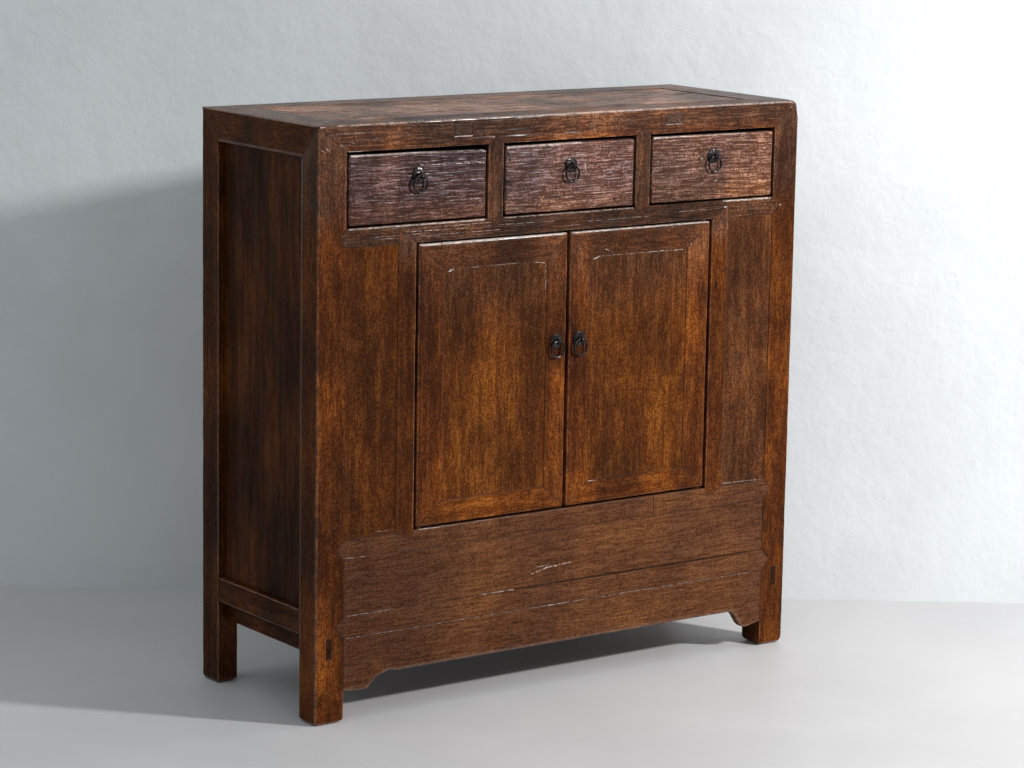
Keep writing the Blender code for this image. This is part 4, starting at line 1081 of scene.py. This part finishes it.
for side, (level, cast, foot) in DRAWER_TONES.items():
    drawer = "drawer_front_" + side
    board(drawer, "X", "drawer", FRONT, arris=0.0040, ridge=(40, 430, 0.0004),
          line=(7, 200, 0.00022), steps=(0.004, 0.006), fine=(2, DRAWER_FINE), rub=0.0010,
          changes=(wear_drawer(drawer, *TOP_DROPS[side]),),
          look=dict(relief=0.0003, gloss=0.30, fibre=2.1, speck=0.7, lacquer=0.35, coat_gloss=0.28,
                    run=0.5, level=level,
                    tints=((2, 0.960, 0.950, cast), (2, 0.885, 0.845, foot))))
print("drawer fronts cut", DRAWER_FINE * 1000, "mm fine across the grain")

# %% [markdown]
# Each door is a mitred frame of two stiles and two rails round a flush panel, and turns on wooden
# pins at its outer edge. The grain of a stile runs up and that of a rail runs across, and this
# change of direction is what makes a mitre read from afar. Greying rises towards the top, where
# hands and cloths have reached.

# %% Doors
DOOR_GREY = (2, 0.62, 0.80, 0.5)
DOOR_MEMBERS = (("hinge_stile", "Z"), ("meeting_stile", "Z"), ("top_rail", "X"),
                ("bottom_rail", "X"))
LIGHTER = {"hinge_stile_left": 1.22}
for side in ("left", "right"):
    for member, grain in DOOR_MEMBERS:
        member += "_" + side
        board("door_" + member, grain, "frame", FRONT, arris=0.0026, joint=0.0004,
              look=dict(level=LIGHTER.get(member, 1.0), grey=DOOR_GREY))
    board("door_panel_" + side, "Z", "panel", FRONT,
          look=dict(tilt=0.07, grey=(2, 0.60, 0.78, 0.5)))
print("boards in all:", len(made_boards))

# %% [markdown]
# The back, the bottoms, the drawer boxes and the deck are plain unlacquered boards. Nobody sees
# their edges, so they keep the shape of the solid model and only get the wood, matt and without
# wear.

# %% Hidden boards
for node_name, node in frame["nodes"].items():
    if node_name in made_boards or node_name.startswith("pull_"):
        continue
    low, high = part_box(node_name)
    grain = "Y" if node_name.startswith("drawer_box") else "X"
    plain = board_material(node_name + "_plain", "side", grain, (low + high) / 2,
                           attributes=False, gloss=0.6, shift=1.3 * len(node_name))
    node.data.materials.clear()
    node.data.materials.append(plain)
print("plain boards dressed")

# %% [markdown]
# The pulls are forged iron: a domed boss, its eye and split pin, and a ring that swings. A smooth
# ring looks cast, so a small tree subdivides the copy and sinks dents into it, inwards only. The
# metal is brown black scale, and a thin coat on the high places gives the small bright glints.

# %% Iron
SCALE_PATTERN, WORN_PATTERN = ((300, 300, 300), 4, 0.7), ((260, 260, 260), 2, 0.6)
SCALE_TONE, WORN_TONE = tone(20, 12, 10), tone(50, 31, 24)


def iron_material(name):
    """Old forged iron: brown black scale with small worn bright places."""
    material, shader, _, place = new_material(name)
    scale = noise(place, *SCALE_PATTERN)
    worn = spread(noise(place, *WORN_PATTERN), 0.56, 0.70)
    feed(shader, {
        "Base Color": blend(worn, SCALE_TONE, WORN_TONE),
        "Roughness": spread(scale, 0.34, 0.62, 0.50, 0.16),
        "Metallic": spread(worn, 0.6, 1.0, 0.0, 0.5),
        "Coat Weight": spread(scale, 0.47, 0.57, 0.0, 0.9), "Coat Roughness": 0.22,
        "Specular IOR Level": 0.12})
    emboss(shader, scale, 0.0006)
    return material


def forged_tree():
    """Geometry Nodes tree for hammered iron: finer faces with dents that sink inwards."""
    tree, given, result = new_group("forged_iron", "GeometryNodeTree", {
        "Geometry": ("Geometry",), "Int": ("Levels",), "Float": ("Dents per metre", "Dent depth"),
        "Material": ("Finish",)}, {"Geometry": ("Geometry",)})
    finer = signal(tree, "GeometryNodeSubdivideMesh", {
        "Mesh": given["Geometry"], "Level": given["Levels"]})
    dents = signal(tree, "ShaderNodeTexNoise", {
        "Vector": signal(tree, "GeometryNodeInputPosition"), "Scale": given["Dents per metre"],
        "Detail": 2.0})
    sink_points(finer, spread(dents, 0.35, 0.70) * given["Dent depth"], given, result)
    return tree


iron, forged = iron_material("forged_iron"), forged_tree()
for node_name in [name for name in frame["nodes"] if name.startswith("pull_")]:
    made = show_piece("forged_" + node_name, clean_shape(node_name))
    run_tree(made, forged, {"Levels": 2, "Dents per metre": 240.0, "Dent depth": 0.00035,
                            "Finish": iron})
    stand_in(made, node_name)
print("five pulls forged:", len(iron.node_tree.nodes), "nodes in the iron")
